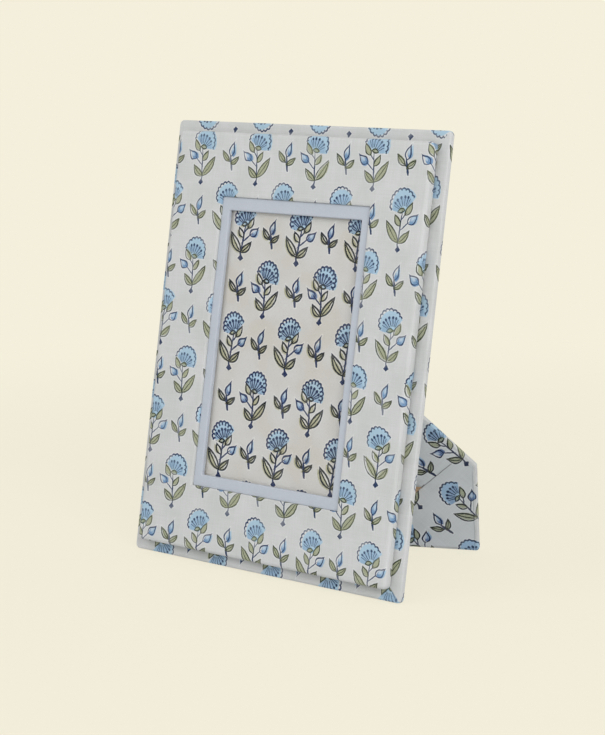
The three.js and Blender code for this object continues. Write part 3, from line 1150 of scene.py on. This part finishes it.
class Outline:
    """A convex outline with rounded corners, from which rings are drawn at any inset."""

    def __init__(self, corners: Sequence[Point2], radius: float, step: float, arc: int = 4) -> None:
        """Holds the corners, counter-clockwise, and how finely a ring is divided.

        Args:
            corners: the sharp corners, in millimetres.
            radius: the corners' rounding.
            step: about how far apart points are along a side.
            arc: points on each half of a corner.
        """
        self.corners = [Vector(c) for c in corners]
        self.radius = radius
        self.arc = arc
        count = len(self.corners)
        runs = [self.corners[(i + 1) % count] - self.corners[i] for i in range(count)]
        self.normals = [Vector((r.y, -r.x)).normalized() for r in runs]
        self.spans = [max(2, round(r.length / step)) for r in runs]

    def sides(self) -> list[int]:
        """Gives the side that each step of a ring lies on."""
        return [i for i, span in enumerate(self.spans) for _ in range(span + 2 * self.arc)]

    def mitres(self) -> set[int]:
        """Gives the ring points in the middle of the corners."""
        found, at = set(), 0
        for span in self.spans:
            found.add(at)
            at += span + 2 * self.arc
        return found

    def _corner(self, i: int, inset: float, radius: float) -> Callable[[float], Vector]:
        """Gives a corner's arc, from 0 at its start to 1 at its end."""
        before, after = self.normals[i - 1], self.normals[i]
        reach = (before + after) / (1 + before.dot(after))
        middle = self.corners[i] - reach * (inset + radius)
        low = math.atan2(before.y, before.x)
        turn = math.acos(max(-1.0, min(1.0, before.dot(after))))

        def arc(share: float) -> Vector:
            """Gives one point of the arc."""
            angle = low + turn * share
            return middle + Vector((math.cos(angle), math.sin(angle))) * radius

        return arc

    def ring(self, inset: float, least: float = 0.3) -> list[Vector]:
        """Gives the points of the ring at an inset.

        Args:
            inset: distance inside the outline.
            least: the smallest rounding.

        Returns:
            The points, beginning in the middle of the first corner.
        """
        radius = max(self.radius - inset, least)
        arcs = [self._corner(i, inset, radius) for i in range(len(self.corners))]
        points: list[Vector] = []
        for i, span in enumerate(self.spans):
            after = arcs[(i + 1) % len(arcs)]
            points += [arcs[i](0.5 + 0.5 * k / self.arc) for k in range(self.arc + 1)]
            start, end = arcs[i](1.0), after(0.0)
            points += [start.lerp(end, k / span) for k in range(1, span)]
            points += [after(0.5 * k / self.arc) for k in range(self.arc)]
        return points


def rectangle(left: float, bottom: float, right: float, top: float) -> list[Point2]:
    """Gives a rectangle's corners, counter-clockwise."""
    return [(left, bottom), (right, bottom), (right, top), (left, top)]


@dataclass
class Ring:
    """One ring of a wrapped cloth: where it runs, and how far it is past the flat face."""

    inset: float
    height: float
    past: float = 0.0
    inward: bool = False


def rounding(radius: float, first: int, steps: int = 5) -> list[Point3]:
    """Gives the steps of a quarter turn.

    Args:
        radius: the turn's radius.
        first: the step to begin with.
        steps: steps in the whole turn.

    Returns:
        For each step, what is left of the first direction, what is gained of the second, and the way gone.
    """
    angles = [math.pi / 2 * k / steps for k in range(first, steps + 1)]
    return [(radius * (1 - math.sin(a)), radius * (1 - math.cos(a)), radius * a) for a in angles]


class Wrap:
    """Cloth that covers a board: rings from its face, over the edge and in behind."""

    swell_length: float = 26.0
    crease: float = 0.12

    def __init__(self, outline: Outline, placing: Placing, lay: Lay, flip: bool) -> None:
        """Holds what the cloth covers.

        Args:
            outline: the covered board's outline.
            placing: its axes.
            lay: how the cloth lies on its print.
            flip: the face looks along -Z.
        """
        self.outline = outline
        self.placing = placing
        self.lay = lay
        self.flip = flip
        self.rings: list[Ring] = []
        self.face_edge = 0.0
        self.hole_edge = 0.0
        self.slack: list[Point2] = [(0.0, 0.0)] * len(outline.corners)
        self.swell = 0.0
        self.fold = 0.0
        self.rolled = 0.0
        self.turned_lay: Optional[Lay] = None

    def face(self, insets: Sequence[float], height: float) -> None:
        """Adds the flat face's rings, from the inner one out.

        Args:
            insets: each ring's inset.
            height: the face's height.
        """
        self.rings += [Ring(i, height) for i in insets]
        self.hole_edge, self.face_edge = insets[0], insets[-1]

    def edge(self, radius: float, low: float, high: float, turn_in: Sequence[float]) -> None:
        """Adds the rolled edge and the turned-in cloth behind.

        Args:
            radius: rounding of both edges.
            low: height of the turned-in side.
            high: height of the face.
            turn_in: insets of the turned-in rings.
        """
        way = 1.0 if high > low else -1.0
        quarter, wall = radius * math.pi / 2, abs(high - low) - 2 * radius
        self.rings += [Ring(left, high - way * gained, gone) for left, gained, gone in rounding(radius, 1)]
        for k in (1, 2):
            self.rings.append(Ring(0.0, high - way * (radius + wall * k / 3), quarter + wall * k / 3))
        self.rings += [Ring(gained, low + way * left, quarter + wall + gone)
                       for left, gained, gone in rounding(radius, 0)]
        self.fold, self.rolled = radius, 2 * quarter + wall
        self.rings += [Ring(i, low, self.rolled + i - radius) for i in turn_in]

    def window(self, rim: float, radius: float, back_radius: float, low: float, high: float,
               turn_in: Sequence[float]) -> None:
        """Adds the cloth that goes through the window and is turned back behind the board.

        Args:
            rim: the window's inset.
            radius: rounding of its front edge.
            back_radius: rounding of its back edge.
            low: height of the turned-back side.
            high: height of the face.
            turn_in: insets of the turned-back rings.
        """
        quarter, wall = radius * math.pi / 2, high - low - radius - back_radius
        rings = [Ring(rim - left, high - gained, gone, True) for left, gained, gone in rounding(radius, 1)]
        rings += [Ring(rim - gained, low + left, quarter + wall + gone, True)
                  for left, gained, gone in rounding(back_radius, 0)]
        done = quarter + wall + back_radius * math.pi / 2
        rings += [Ring(i, low, done + rim - back_radius - i, True) for i in turn_in]
        self.rings = rings[::-1] + self.rings

    def lift(self, ring: Ring, p: Vector, mitre: bool) -> float:
        """Gives how far the cloth stands off its board.

        Args:
            ring: the ring.
            p: the ring's point.
            mitre: the point is in the middle of a corner.

        Returns:
            The height of the soft face or of a turned-in corner's fold.
        """
        if mitre and not ring.inward and ring.past > 0.0 and ring.inset > self.fold:
            return self.crease
        if ring.past == 0.0 and self.swell:
            place = Vector((p.x / self.swell_length, p.y / self.swell_length, ring.height))
            return self.swell * (0.5 + 0.5 * noise.noise(place))
        return 0.0

    def mesh(self, name: str, closed: bool) -> Piece:
        """Makes the mesh.

        Args:
            name: the piece's name.
            closed: the face has no window.

        Returns:
            The cloth, one layer thick, looking out.
        """
        work = bmesh.new()
        layer = work.loops.layers.uv.new(CLOTH_MAP)
        flats = [self.outline.ring(r.inset) for r in self.rings]
        outer, inner = self.outline.ring(self.face_edge), self.outline.ring(self.hole_edge)
        behind = self.outline.ring(self.fold)
        sides, mitres = self.outline.sides(), self.outline.mitres()
        count, out_way = len(sides), -1.0 if self.flip else 1.0
        rows: list[list[bmesh.types.BMVert]] = []
        for ring, flat in zip(self.rings, flats):
            heights = [ring.height + out_way * self.lift(ring, p, j in mitres) for j, p in enumerate(flat)]
            rows.append([work.verts.new(self.placing.point(p.x, p.y, z)) for p, z in zip(flat, heights)])

        def opened(k: int, j: int, side: int, turned: bool) -> Point2:
            """Gives a ring point's place on the print."""
            ring, p, n = self.rings[k], flats[k][j], self.outline.normals[side]
            if turned and self.turned_lay is not None:
                if ring.past < self.rolled:
                    p = p - n * p.dot(n) + n * (behind[j].dot(n) + self.rolled - ring.past)
                return self.turned_lay.cloth(p.x, p.y)
            if ring.past > 0.0:
                base = (inner if ring.inward else outer)[j]
                out, along = (0.0, 0.0) if ring.inward else self.slack[side]
                away = base.dot(n) + (-ring.past if ring.inward else ring.past + out)
                p = p - n * p.dot(n) + n * away + Vector((-n.y, n.x)) * along
            return self.lay.cloth(p.x, p.y)

        for k in range(len(rows) - 1):
            turned = self.rings[k + 1].past > 0.0
            for j in range(count):
                n = (j + 1) % count
                corners = [(k, j), (k, n), (k + 1, n), (k + 1, j)]
                if not self.flip:
                    corners.reverse()
                made = work.faces.new([rows[a][b] for a, b in corners])
                made.smooth = True
                for loop, (a, b) in zip(made.loops, corners):
                    loop[layer].uv = opened(a, b, sides[j], turned)
        if closed:
            order = list(range(count))
            if self.flip:
                order.reverse()
            made = work.faces.new([rows[0][j] for j in order])
            made.smooth = True
            for loop, j in zip(made.loops, order):
                loop[layer].uv = self.lay.cloth(flats[0][j].x, flats[0][j].y)
        return finished(work, name)


def finished(work: bmesh.types.BMesh, name: str) -> Piece:
    """Turns a worked mesh into an object of the scene.

    Args:
        work: the mesh, which is freed.
        name: the piece's name.

    Returns:
        The object.
    """
    mesh = bpy.data.meshes.new(name)
    work.to_mesh(mesh)
    work.free()
    made = bpy.data.objects.new(name, mesh)
    bpy.context.scene.collection.objects.link(made)
    return made


def thicken(piece: Piece, thickness: float, offset: float = -1.0) -> None:
    """Gives cloth its thickness, behind its face.

    Args:
        piece: the cloth.
        thickness: in millimetres.
        offset: -1 behind the face, 0 both ways.
    """
    solid = piece.modifiers.new("thickness", "SOLIDIFY")
    solid.thickness = thickness * MM
    solid.offset = offset
    solid.use_even_offset = True
    solid.use_quality_normals = True


def wear(piece: Piece, finish: Finish, slot: str) -> None:
    """Gives a piece its finish."""
    piece.data.materials.clear()
    piece.data.materials.append(finish.material())


def dress_node(name: str, finish: Finish) -> None:
    """Gives a carried-over CAD node its finish.

    Args:
        name: the node.
        finish: what it wears.
    """
    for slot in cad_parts[name].material_slots:
        slot.material = finish.material()
    LOG.info("node %s wears %s", name, finish.name)


# Sub-assemblies


@dataclass
class BackPanel:
    """The thin back panel: a card in printed cloth that is turned in over its front edges."""

    width: float = 184.0
    height: float = 244.0
    thickness: float = 3.6
    corner: float = 2.6
    edge: float = 1.0
    turn_in: float = 20.0
    cloth: float = 0.5
    step: float = 6.0
    face_rings: tuple[float, ...] = (60.0, 45.0, 30.0, 18.0, 10.0, 5.0, 2.5)
    turned_rings: tuple[float, ...] = (2.0, 3.5, 5.0, 6.5, 9.0, 12.0, 16.0)
    lay: Lay = Lay((-11.8, 251.4), 0.0, True, (1.0, 60.7 / 61.0))
    bottom_slack: Point2 = (-5.2, 0.0)
    right_slack: Point2 = (0.0, -1.7)

    def build(self) -> None:
        """Makes the cloth and dresses the card."""
        half = self.width / 2
        outline = Outline(rectangle(-half, 0, half, self.height), self.corner, self.step)
        wrap = Wrap(outline, STANCE.panel(), self.lay, True)
        wrap.slack[0], wrap.slack[1] = self.bottom_slack, self.right_slack
        wrap.face([*self.face_rings, self.edge], 0.0)
        wrap.edge(self.edge, self.thickness, 0.0, [*self.turned_rings, self.turn_in])
        cloth = wrap.mesh("back_cloth", True)
        thicken(cloth, self.cloth)
        wear(cloth, COTTON, "printed_cotton")
        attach(cloth, "frame")
        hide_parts("back_cover")
        LOG.info("back cloth made")
        dress_node("back_board", GREY_CARD)


@dataclass
class FrontPanel:
    """The thick front panel: a card ring, its spacers, and cloth round them and through the window."""

    half_width: float = 85.7
    bottom: float = 6.3
    top: float = 237.7
    rear: float = 3.75
    front: float = 9.8
    corner: float = 3.0
    edge: float = 1.8
    turn_in: float = 16.0
    window: float = 35.5
    window_edge: float = 0.8
    window_back_edge: float = 0.6
    window_back: float = 7.3
    window_turn_in: float = 12.0
    cloth: float = 0.5
    swell: float = 0.12
    step: float = 5.0
    face_rings: tuple[float, ...] = (*(31.0 - 3.6 * k for k in range(8)), 4.0, 2.8)
    near_window: tuple[float, ...] = (0.0, 1.0, 2.5)
    turned_rings: tuple[float, ...] = (3.0, 6.0, 10.0)
    window_rings: tuple[float, ...] = (34.0, 31.0, 27.0)
    lay: Lay = Lay((-66.66, 209.99), math.radians(1.1), strikes=(
        Strike((-8.0, 14.0), (60.0, 58.0), (1.5, 1.9)), Strike((80.0, 95.0), (45.0, 130.0), (-1.1, -1.9))))

    def build(self) -> None:
        """Makes the cloth and dresses the card pieces."""
        corners = rectangle(-self.half_width, self.bottom, self.half_width, self.top)
        wrap = Wrap(Outline(corners, self.corner, self.step), STANCE.panel(), self.lay, False)
        wrap.swell = self.swell
        start = self.window - self.window_edge
        insets = [*(start - d for d in self.near_window), *self.face_rings, self.edge]
        wrap.face(sorted(insets, reverse=True), self.front)
        wrap.edge(self.edge, self.rear, self.front, [*self.turned_rings, self.turn_in])
        wrap.window(self.window, self.window_edge, self.window_back_edge, self.window_back, self.front,
                    [*self.window_rings, self.window - self.window_turn_in])
        cloth = wrap.mesh("front_cloth", False)
        thicken(cloth, self.cloth)
        wear(cloth, COTTON, "printed_cotton")
        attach(cloth, "frame")
        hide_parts("front_cover")
        LOG.info("front cloth made")
        for name in ("front_board", "spacer_left", "spacer_right", "spacer_bottom"):
            dress_node(name, GREY_CARD)


@dataclass
class Display:
    """What shows in the window: the mat, the clear sheet, and the insert on its backing."""

    def build(self) -> None:
        """Dresses the window's pieces."""
        dress_node("slip_mat", LAVENDER)
        dress_node("glazing", CLEAR)
        dress_node("picture_print", INSERT)
        dress_node("backing_card", BROWN_CARD)


@dataclass
class Strut:
    """The easel strut: a card in printed cloth, lined on its inner face."""

    corners: tuple[Point2, ...] = ((0.5, -38.0), (151.65, -38.0), (191.0, 0.0), (154.30, 38.0), (0.5, 38.0))
    corner: float = 2.0
    edge: float = 0.9
    front: float = -0.95
    rear: float = -4.25
    turn_in: float = 12.0
    margin: float = 1.8
    lining_front: float = -0.3
    slit_at: float = 142.0
    slit_width: float = 16.0
    slit_gap: float = 0.25
    slit_fade: float = 1.6
    slit_lip: float = 0.3
    slit_dip: float = 0.16
    lining_cuts: Point3 = (40.0, 80.0, 120.0)
    lining_half: float = 20.0
    cloth: float = 0.5
    step: float = 6.0
    face_rings: tuple[float, ...] = (22.0, 12.0, 6.0, 2.5)
    turned_rings: tuple[float, ...] = (1.8, 3.0, 5.0, 8.0)
    lay: Lay = Lay((149.0, 35.0), math.radians(90.0))
    rear_lay: Lay = Lay((140.0, 12.0), math.radians(90.0), True)

    def build(self) -> None:
        """Makes the cover and the lining and dresses the card."""
        wrap = Wrap(self.outline(), STANCE.strut(), self.rear_lay, True)
        wrap.turned_lay = self.lay
        wrap.face([*self.face_rings, self.edge], self.rear)
        wrap.edge(self.edge, self.front, self.rear, [*self.turned_rings, self.turn_in])
        cover = wrap.mesh("strut_cloth", True)
        thicken(cover, self.cloth)
        wear(cover, COTTON, "printed_cotton")
        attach(cover, "strut")
        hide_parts("strut_cover")
        LOG.info("strut cloth made")
        lining = self.lining()
        thicken(lining, self.cloth)
        wear(lining, LINING, "printed_cotton")
        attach(lining, "strut")
        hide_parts("strut_lining")
        LOG.info("strut lining made")
        dress_node("strut_board", GREY_CARD)

    def outline(self) -> Outline:
        """Gives the card's outline."""
        return Outline(self.corners, self.corner, self.step)

    def lining(self) -> Piece:
        """Makes the lining, with the ribbon's slit.

        Returns:
            The lining, one layer.
        """
        work = bmesh.new()
        layer = work.loops.layers.uv.new(CLOTH_MAP)
        work.faces.new([work.verts.new((p.x, p.y, 0.0)) for p in self.outline().ring(self.margin)])
        half = self.slit_width / 2
        beside_slit = (-self.slit_fade, -self.slit_gap, self.slit_gap, self.slit_fade)
        along = [*(self.slit_at + d for d in beside_slit), *self.lining_cuts]
        cuts = [((x, 0, 0), (1, 0, 0)) for x in along]
        cuts += [((0, y, 0), (0, 1, 0)) for y in (-self.lining_half, -half, half, self.lining_half)]
        for point, way in cuts:
            work.normal_update()
            work.verts.ensure_lookup_table()
            everything = work.verts[:] + work.edges[:] + work.faces[:]
            bmesh.ops.bisect_plane(work, geom=everything, dist=1e-6, plane_co=point, plane_no=way)
        middles = [(f, f.calc_center_median()) for f in work.faces]
        slit = [f for f, at in middles if abs(at.x - self.slit_at) < self.slit_gap and abs(at.y) < half]
        bmesh.ops.delete(work, geom=slit, context="FACES")
        strut = STANCE.strut()
        for f in work.faces:
            for loop in f.loops:
                loop[layer].uv = self.lay.cloth(loop.vert.co.x, loop.vert.co.y)
        for v in work.verts:
            dip = self.slit_dip if abs(v.co.x - self.slit_at) < self.slit_lip else 0.0
            v.co = strut.point(v.co.x, v.co.y, self.lining_front - dip)
        return finished(work, "lining_cloth")


@dataclass
class Strip:
    """A strip of tape along a path in the hinge's own plane, drawn in to a share of its width at its end."""

    path: list[Point2]
    half_width: float
    name: str
    bands: int = 10
    pinch: float = 1.0

    def build(self, lay: Lay) -> Piece:
        """Makes the strip, one layer.

        Args:
            lay: how it lies on its print.

        Returns:
            The strip.
        """
        work = bmesh.new()
        layer = work.loops.layers.uv.new(CLOTH_MAP)
        hinge = STANCE.hinge()
        run = self.run()
        widths = [self.half_width * (2 * k / self.bands - 1) for k in range(self.bands + 1)]
        rows = []
        for (x, z), gone in zip(self.path, run):
            share = 1.0 - (1.0 - self.pinch) * max(0.0, gone / run[-1] * 2 - 1) ** 2
            rows.append([work.verts.new(hinge.point(x, y * share, z)) for y in widths])
        for i in range(len(rows) - 1):
            for k in range(self.bands):
                spots = [(i, k), (i + 1, k), (i + 1, k + 1), (i, k + 1)]
                made = work.faces.new([rows[a][b] for a, b in spots])
                made.smooth = True
                for loop, (a, b) in zip(made.loops, spots):
                    loop[layer].uv = lay.cloth(run[a], widths[b])
        return finished(work, self.name)

    def run(self) -> list[float]:
        """Gives how far along the strip each point of its path lies."""
        found = [0.0]
        for a, b in zip(self.path, self.path[1:]):
            found.append(found[-1] + math.dist(a, b))
        return found

    def length(self) -> float:
        """Gives the strip's length, in millimetres."""
        return self.run()[-1]


@dataclass
class Hinge:
    """The cloth hinge: one strip, glued to the back panel and round the strut's end."""

    reach: float = 24.0
    width: float = 70.0
    cloth: float = 0.5
    strut_rear: float = -4.25
    strut_end: float = 0.1
    strut_top: float = -0.55
    off_strut: float = 0.4
    end_radius: float = 0.5
    leaf_height: float = 0.5
    leaf_step: float = 1.5
    leaf_points: int = 15
    end_steps: int = 5
    back_steps: int = 14
    bend: tuple[Point2, ...] = ((-1.8, 0.5), (-1.0, 0.42), (-0.55, 0.2))
    lay: Lay = Lay((6.0, 9.0), math.radians(90.0), True)

    def path(self) -> list[Point2]:
        """Gives the strip's way: down the back panel, round the bend and the strut's end, along its back."""
        back, end, top = self.strut_rear - self.off_strut, self.strut_end, self.strut_top
        found = [(-self.reach + self.leaf_step * k, self.leaf_height) for k in range(self.leaf_points)]
        found += self.bend
        drop, steps = back + self.end_radius - top, self.end_steps
        found += [STANCE.on_strut(end, top + drop * k / steps) for k in range(steps + 1)]
        turn = rounding(self.end_radius, 1, 4)
        found += [STANCE.on_strut(end + gained, back + left) for left, gained, _ in turn]
        start, steps = end + self.end_radius, self.back_steps
        run = self.reach - start
        return found + [STANCE.on_strut(start + run * k / steps, back) for k in range(1, steps + 1)]

    def build(self) -> None:
        """Makes the strip and gives it its thickness and finish."""
        strip = Strip(self.path(), self.width / 2, "hinge_cloth")
        cloth = strip.build(self.lay)
        thicken(cloth, self.cloth, 0.0)
        wear(cloth, COTTON, "printed_cotton")
        place = STANCE.hinge()
        place.point(-0.8, 0, 0.35)
        place.point(-0.25, 0, -0.6)
        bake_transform(cloth)
        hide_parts("hinge_leaf_frame", "hinge_leaf_strut")
        strip.length() * MM
        LOG.info("hinge cloth made")


@dataclass
class Stay:
    """The ribbon that stops the strut: taut from the back panel's slit to the lining's."""

    frame_slit: Point2 = (126.0, 0.9)
    strut_slit: Point2 = (142.0, -0.3)
    width: float = 16.0
    thickness: float = 0.5
    steps: int = 24
    bands: int = 4
    pinch: float = 0.7

    def build(self) -> None:
        """Makes the ribbon, taut from slit to slit."""
        start, end = self.frame_slit, STANCE.on_strut(*self.strut_slit)
        shares = [k / self.steps for k in range(self.steps + 1)]
        path = [(start[0] + (end[0] - start[0]) * s, start[1] + (end[1] - start[1]) * s) for s in shares]
        strip = Strip(path, self.width / 2, "stay_tape", self.bands, self.pinch)
        tape = strip.build(Lay((0.0, 0.0)))
        thicken(tape, self.thickness, 0.0)
        wear(tape, TAN, "tan_ribbon")
        place = STANCE.hinge()
        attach(tape, "frame")
        place.direction(0, 0, 1)
        place.point(start[0], 0, start[1])
        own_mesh(tape)
        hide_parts("stay_ribbon")
        strip.length() * MM
        LOG.info("stay ribbon made")


# Studio


def seen_rays(tree: Tree) -> Wire:
    """Gives 1 for the rays that see the backdrop: from the camera, off a gloss and through a clear sheet."""
    path = tree.nodes.new("ShaderNodeLightPath")
    seen = Wire(tree, path.outputs["Is Camera Ray"]).most(Wire(tree, path.outputs["Is Glossy Ray"]))
    return seen.most(Wire(tree, path.outputs["Is Transmission Ray"]))


def mix_shaders(tree: Tree, share: Wire, shaders: Sequence[Node], output: str) -> None:
    """Mixes two shaders into a tree's output.

    Args:
        tree: the material's or the world's tree.
        share: how much of the second.
        shaders: the two.
        output: the output node's name.
    """
    mix = tree.nodes.new("ShaderNodeMixShader")
    plug(tree, share, mix.inputs[0])
    for shader, socket in zip(shaders, mix.inputs[1:]):
        tree.links.new(shader.outputs[0], socket)
    tree.links.new(mix.outputs[0], tree.nodes[output].inputs["Surface"])


@dataclass(frozen=True)
class Lamp:
    """A soft square lamp: its place and side in metres, and its power in watts."""

    name: str
    at: Point3
    size: float
    power: float

    def hang(self, aim: Point3) -> None:
        """Adds the lamp to the scene.

        Args:
            aim: where it looks.
        """
        data = bpy.data.lights.new(self.name, "AREA")
        data.size, data.energy = self.size, self.power
        made = bpy.data.objects.new(self.name, data)
        made.location = self.at
        made.rotation_euler = (Vector(aim) - Vector(self.at)).to_track_quat("-Z", "Y").to_euler()
        bpy.context.scene.collection.objects.link(made)


@dataclass
class Studio:
    """The camera, the lamps, and a plain pale floor that keeps the shadow."""

    lens: float = 98.108
    sensor: float = 36.0
    clip: Point2 = (0.05, 50.0)
    at: Point3 = (0.66202, -0.86200, 0.31382)
    right: Point3 = (0.789680, 0.613387, -0.012736)
    up: Point3 = (-0.105208, 0.155839, 0.982164)
    forward: Point3 = (-0.604431, 0.774255, -0.187596)
    backdrop: str = "F4EFDC"
    bounce: str = "E2E3E4"
    ambient: float = 0.6
    aim: Point3 = (0.0, 0.0, 0.12)
    lamps: tuple[Lamp, ...] = (
        Lamp("key", (1.75, -1.1, 1.25), 1.2, 20.0), Lamp("fill", (-1.0, -1.7, 1.2), 1.4, 8.0),
        Lamp("side", (1.7, -0.7, 0.4), 0.8, 2.2),
    )
    floor_half: float = 6.0
    floor_drop: float = 0.0002
    floor_roughness: float = 0.95
    shadow_spread: Point2 = (0.02, 0.5)
    shadow_hidden: Point2 = (0.82, 1.0)

    def camera(self) -> None:
        """Puts the camera where the photograph was taken from."""
        data = bpy.data.cameras.new("camera")
        data.sensor_fit, data.sensor_width, data.lens = "AUTO", self.sensor, self.lens
        data.clip_start, data.clip_end = self.clip
        made = bpy.data.objects.new("camera", data)
        columns = Matrix((self.right, self.up, [-v for v in self.forward])).transposed()
        made.matrix_world = Matrix.Translation(self.at) @ columns.to_4x4()
        bpy.context.scene.collection.objects.link(made)
        bpy.context.scene.camera = made

    def world(self) -> None:
        """Lights the room evenly, and shows the backdrop's colour to the camera."""
        world = bpy.data.worlds.new("room")
        bpy.context.scene.world = world
        world.use_nodes = True
        tree = world.node_tree
        even = tree.nodes["Background"]
        even.inputs["Color"].default_value = (1, 1, 1, 1)
        even.inputs["Strength"].default_value = self.ambient
        shown = tree.nodes.new("ShaderNodeBackground")
        shown.inputs["Color"].default_value = srgb(self.backdrop)
        mix_shaders(tree, seen_rays(tree), (even, shown), "World Output")

    def floor(self) -> None:
        """Adds the floor, which fades into the backdrop away from the frame."""
        work = bmesh.new()
        bmesh.ops.create_grid(work, x_segments=8, y_segments=8, size=self.floor_half)
        floor = finished(work, "floor")
        floor.location.z = -self.floor_drop
        material = bpy.data.materials.new("pale_floor")
        material.use_nodes = True
        tree = material.node_tree
        shader = tree.nodes["Principled BSDF"]
        shader.inputs["Roughness"].default_value = self.floor_roughness
        glow = tree.nodes.new("ShaderNodeEmission")
        glow.inputs["Color"].default_value = srgb(self.backdrop)
        seen = seen_rays(tree)
        plug(tree, mixed(tree, seen, srgb(self.bounce), srgb(self.backdrop)), shader.inputs["Base Color"])
        away = object_place(tree).stretched(1.0, 1.0, 0.0)
        spread = vector_math(tree, "DOT_PRODUCT", away, away).eased(*self.shadow_spread, *self.shadow_hidden)
        mix_shaders(tree, spread * seen, (shader, glow), "Material Output")
        floor.data.materials.append(material)

    def build(self) -> None:
        """Sets the whole studio up."""
        self.camera()
        self.world()
        for lamp in self.lamps:
            lamp.hang(self.aim)
        self.floor()
        bpy.context.scene.view_settings.view_transform = "Standard"
        LOG.info("studio set up")


def main() -> None:
    """Builds the frame's looks, piece by piece."""
    logging.basicConfig(level=logging.INFO, format="%(name)s: %(message)s")
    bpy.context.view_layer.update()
    for assembly in (Studio(), Stay(), BackPanel(), FrontPanel(), Display(), Strut(), Hinge()):
        assembly.build()


if __name__ == "__main__":
    main()
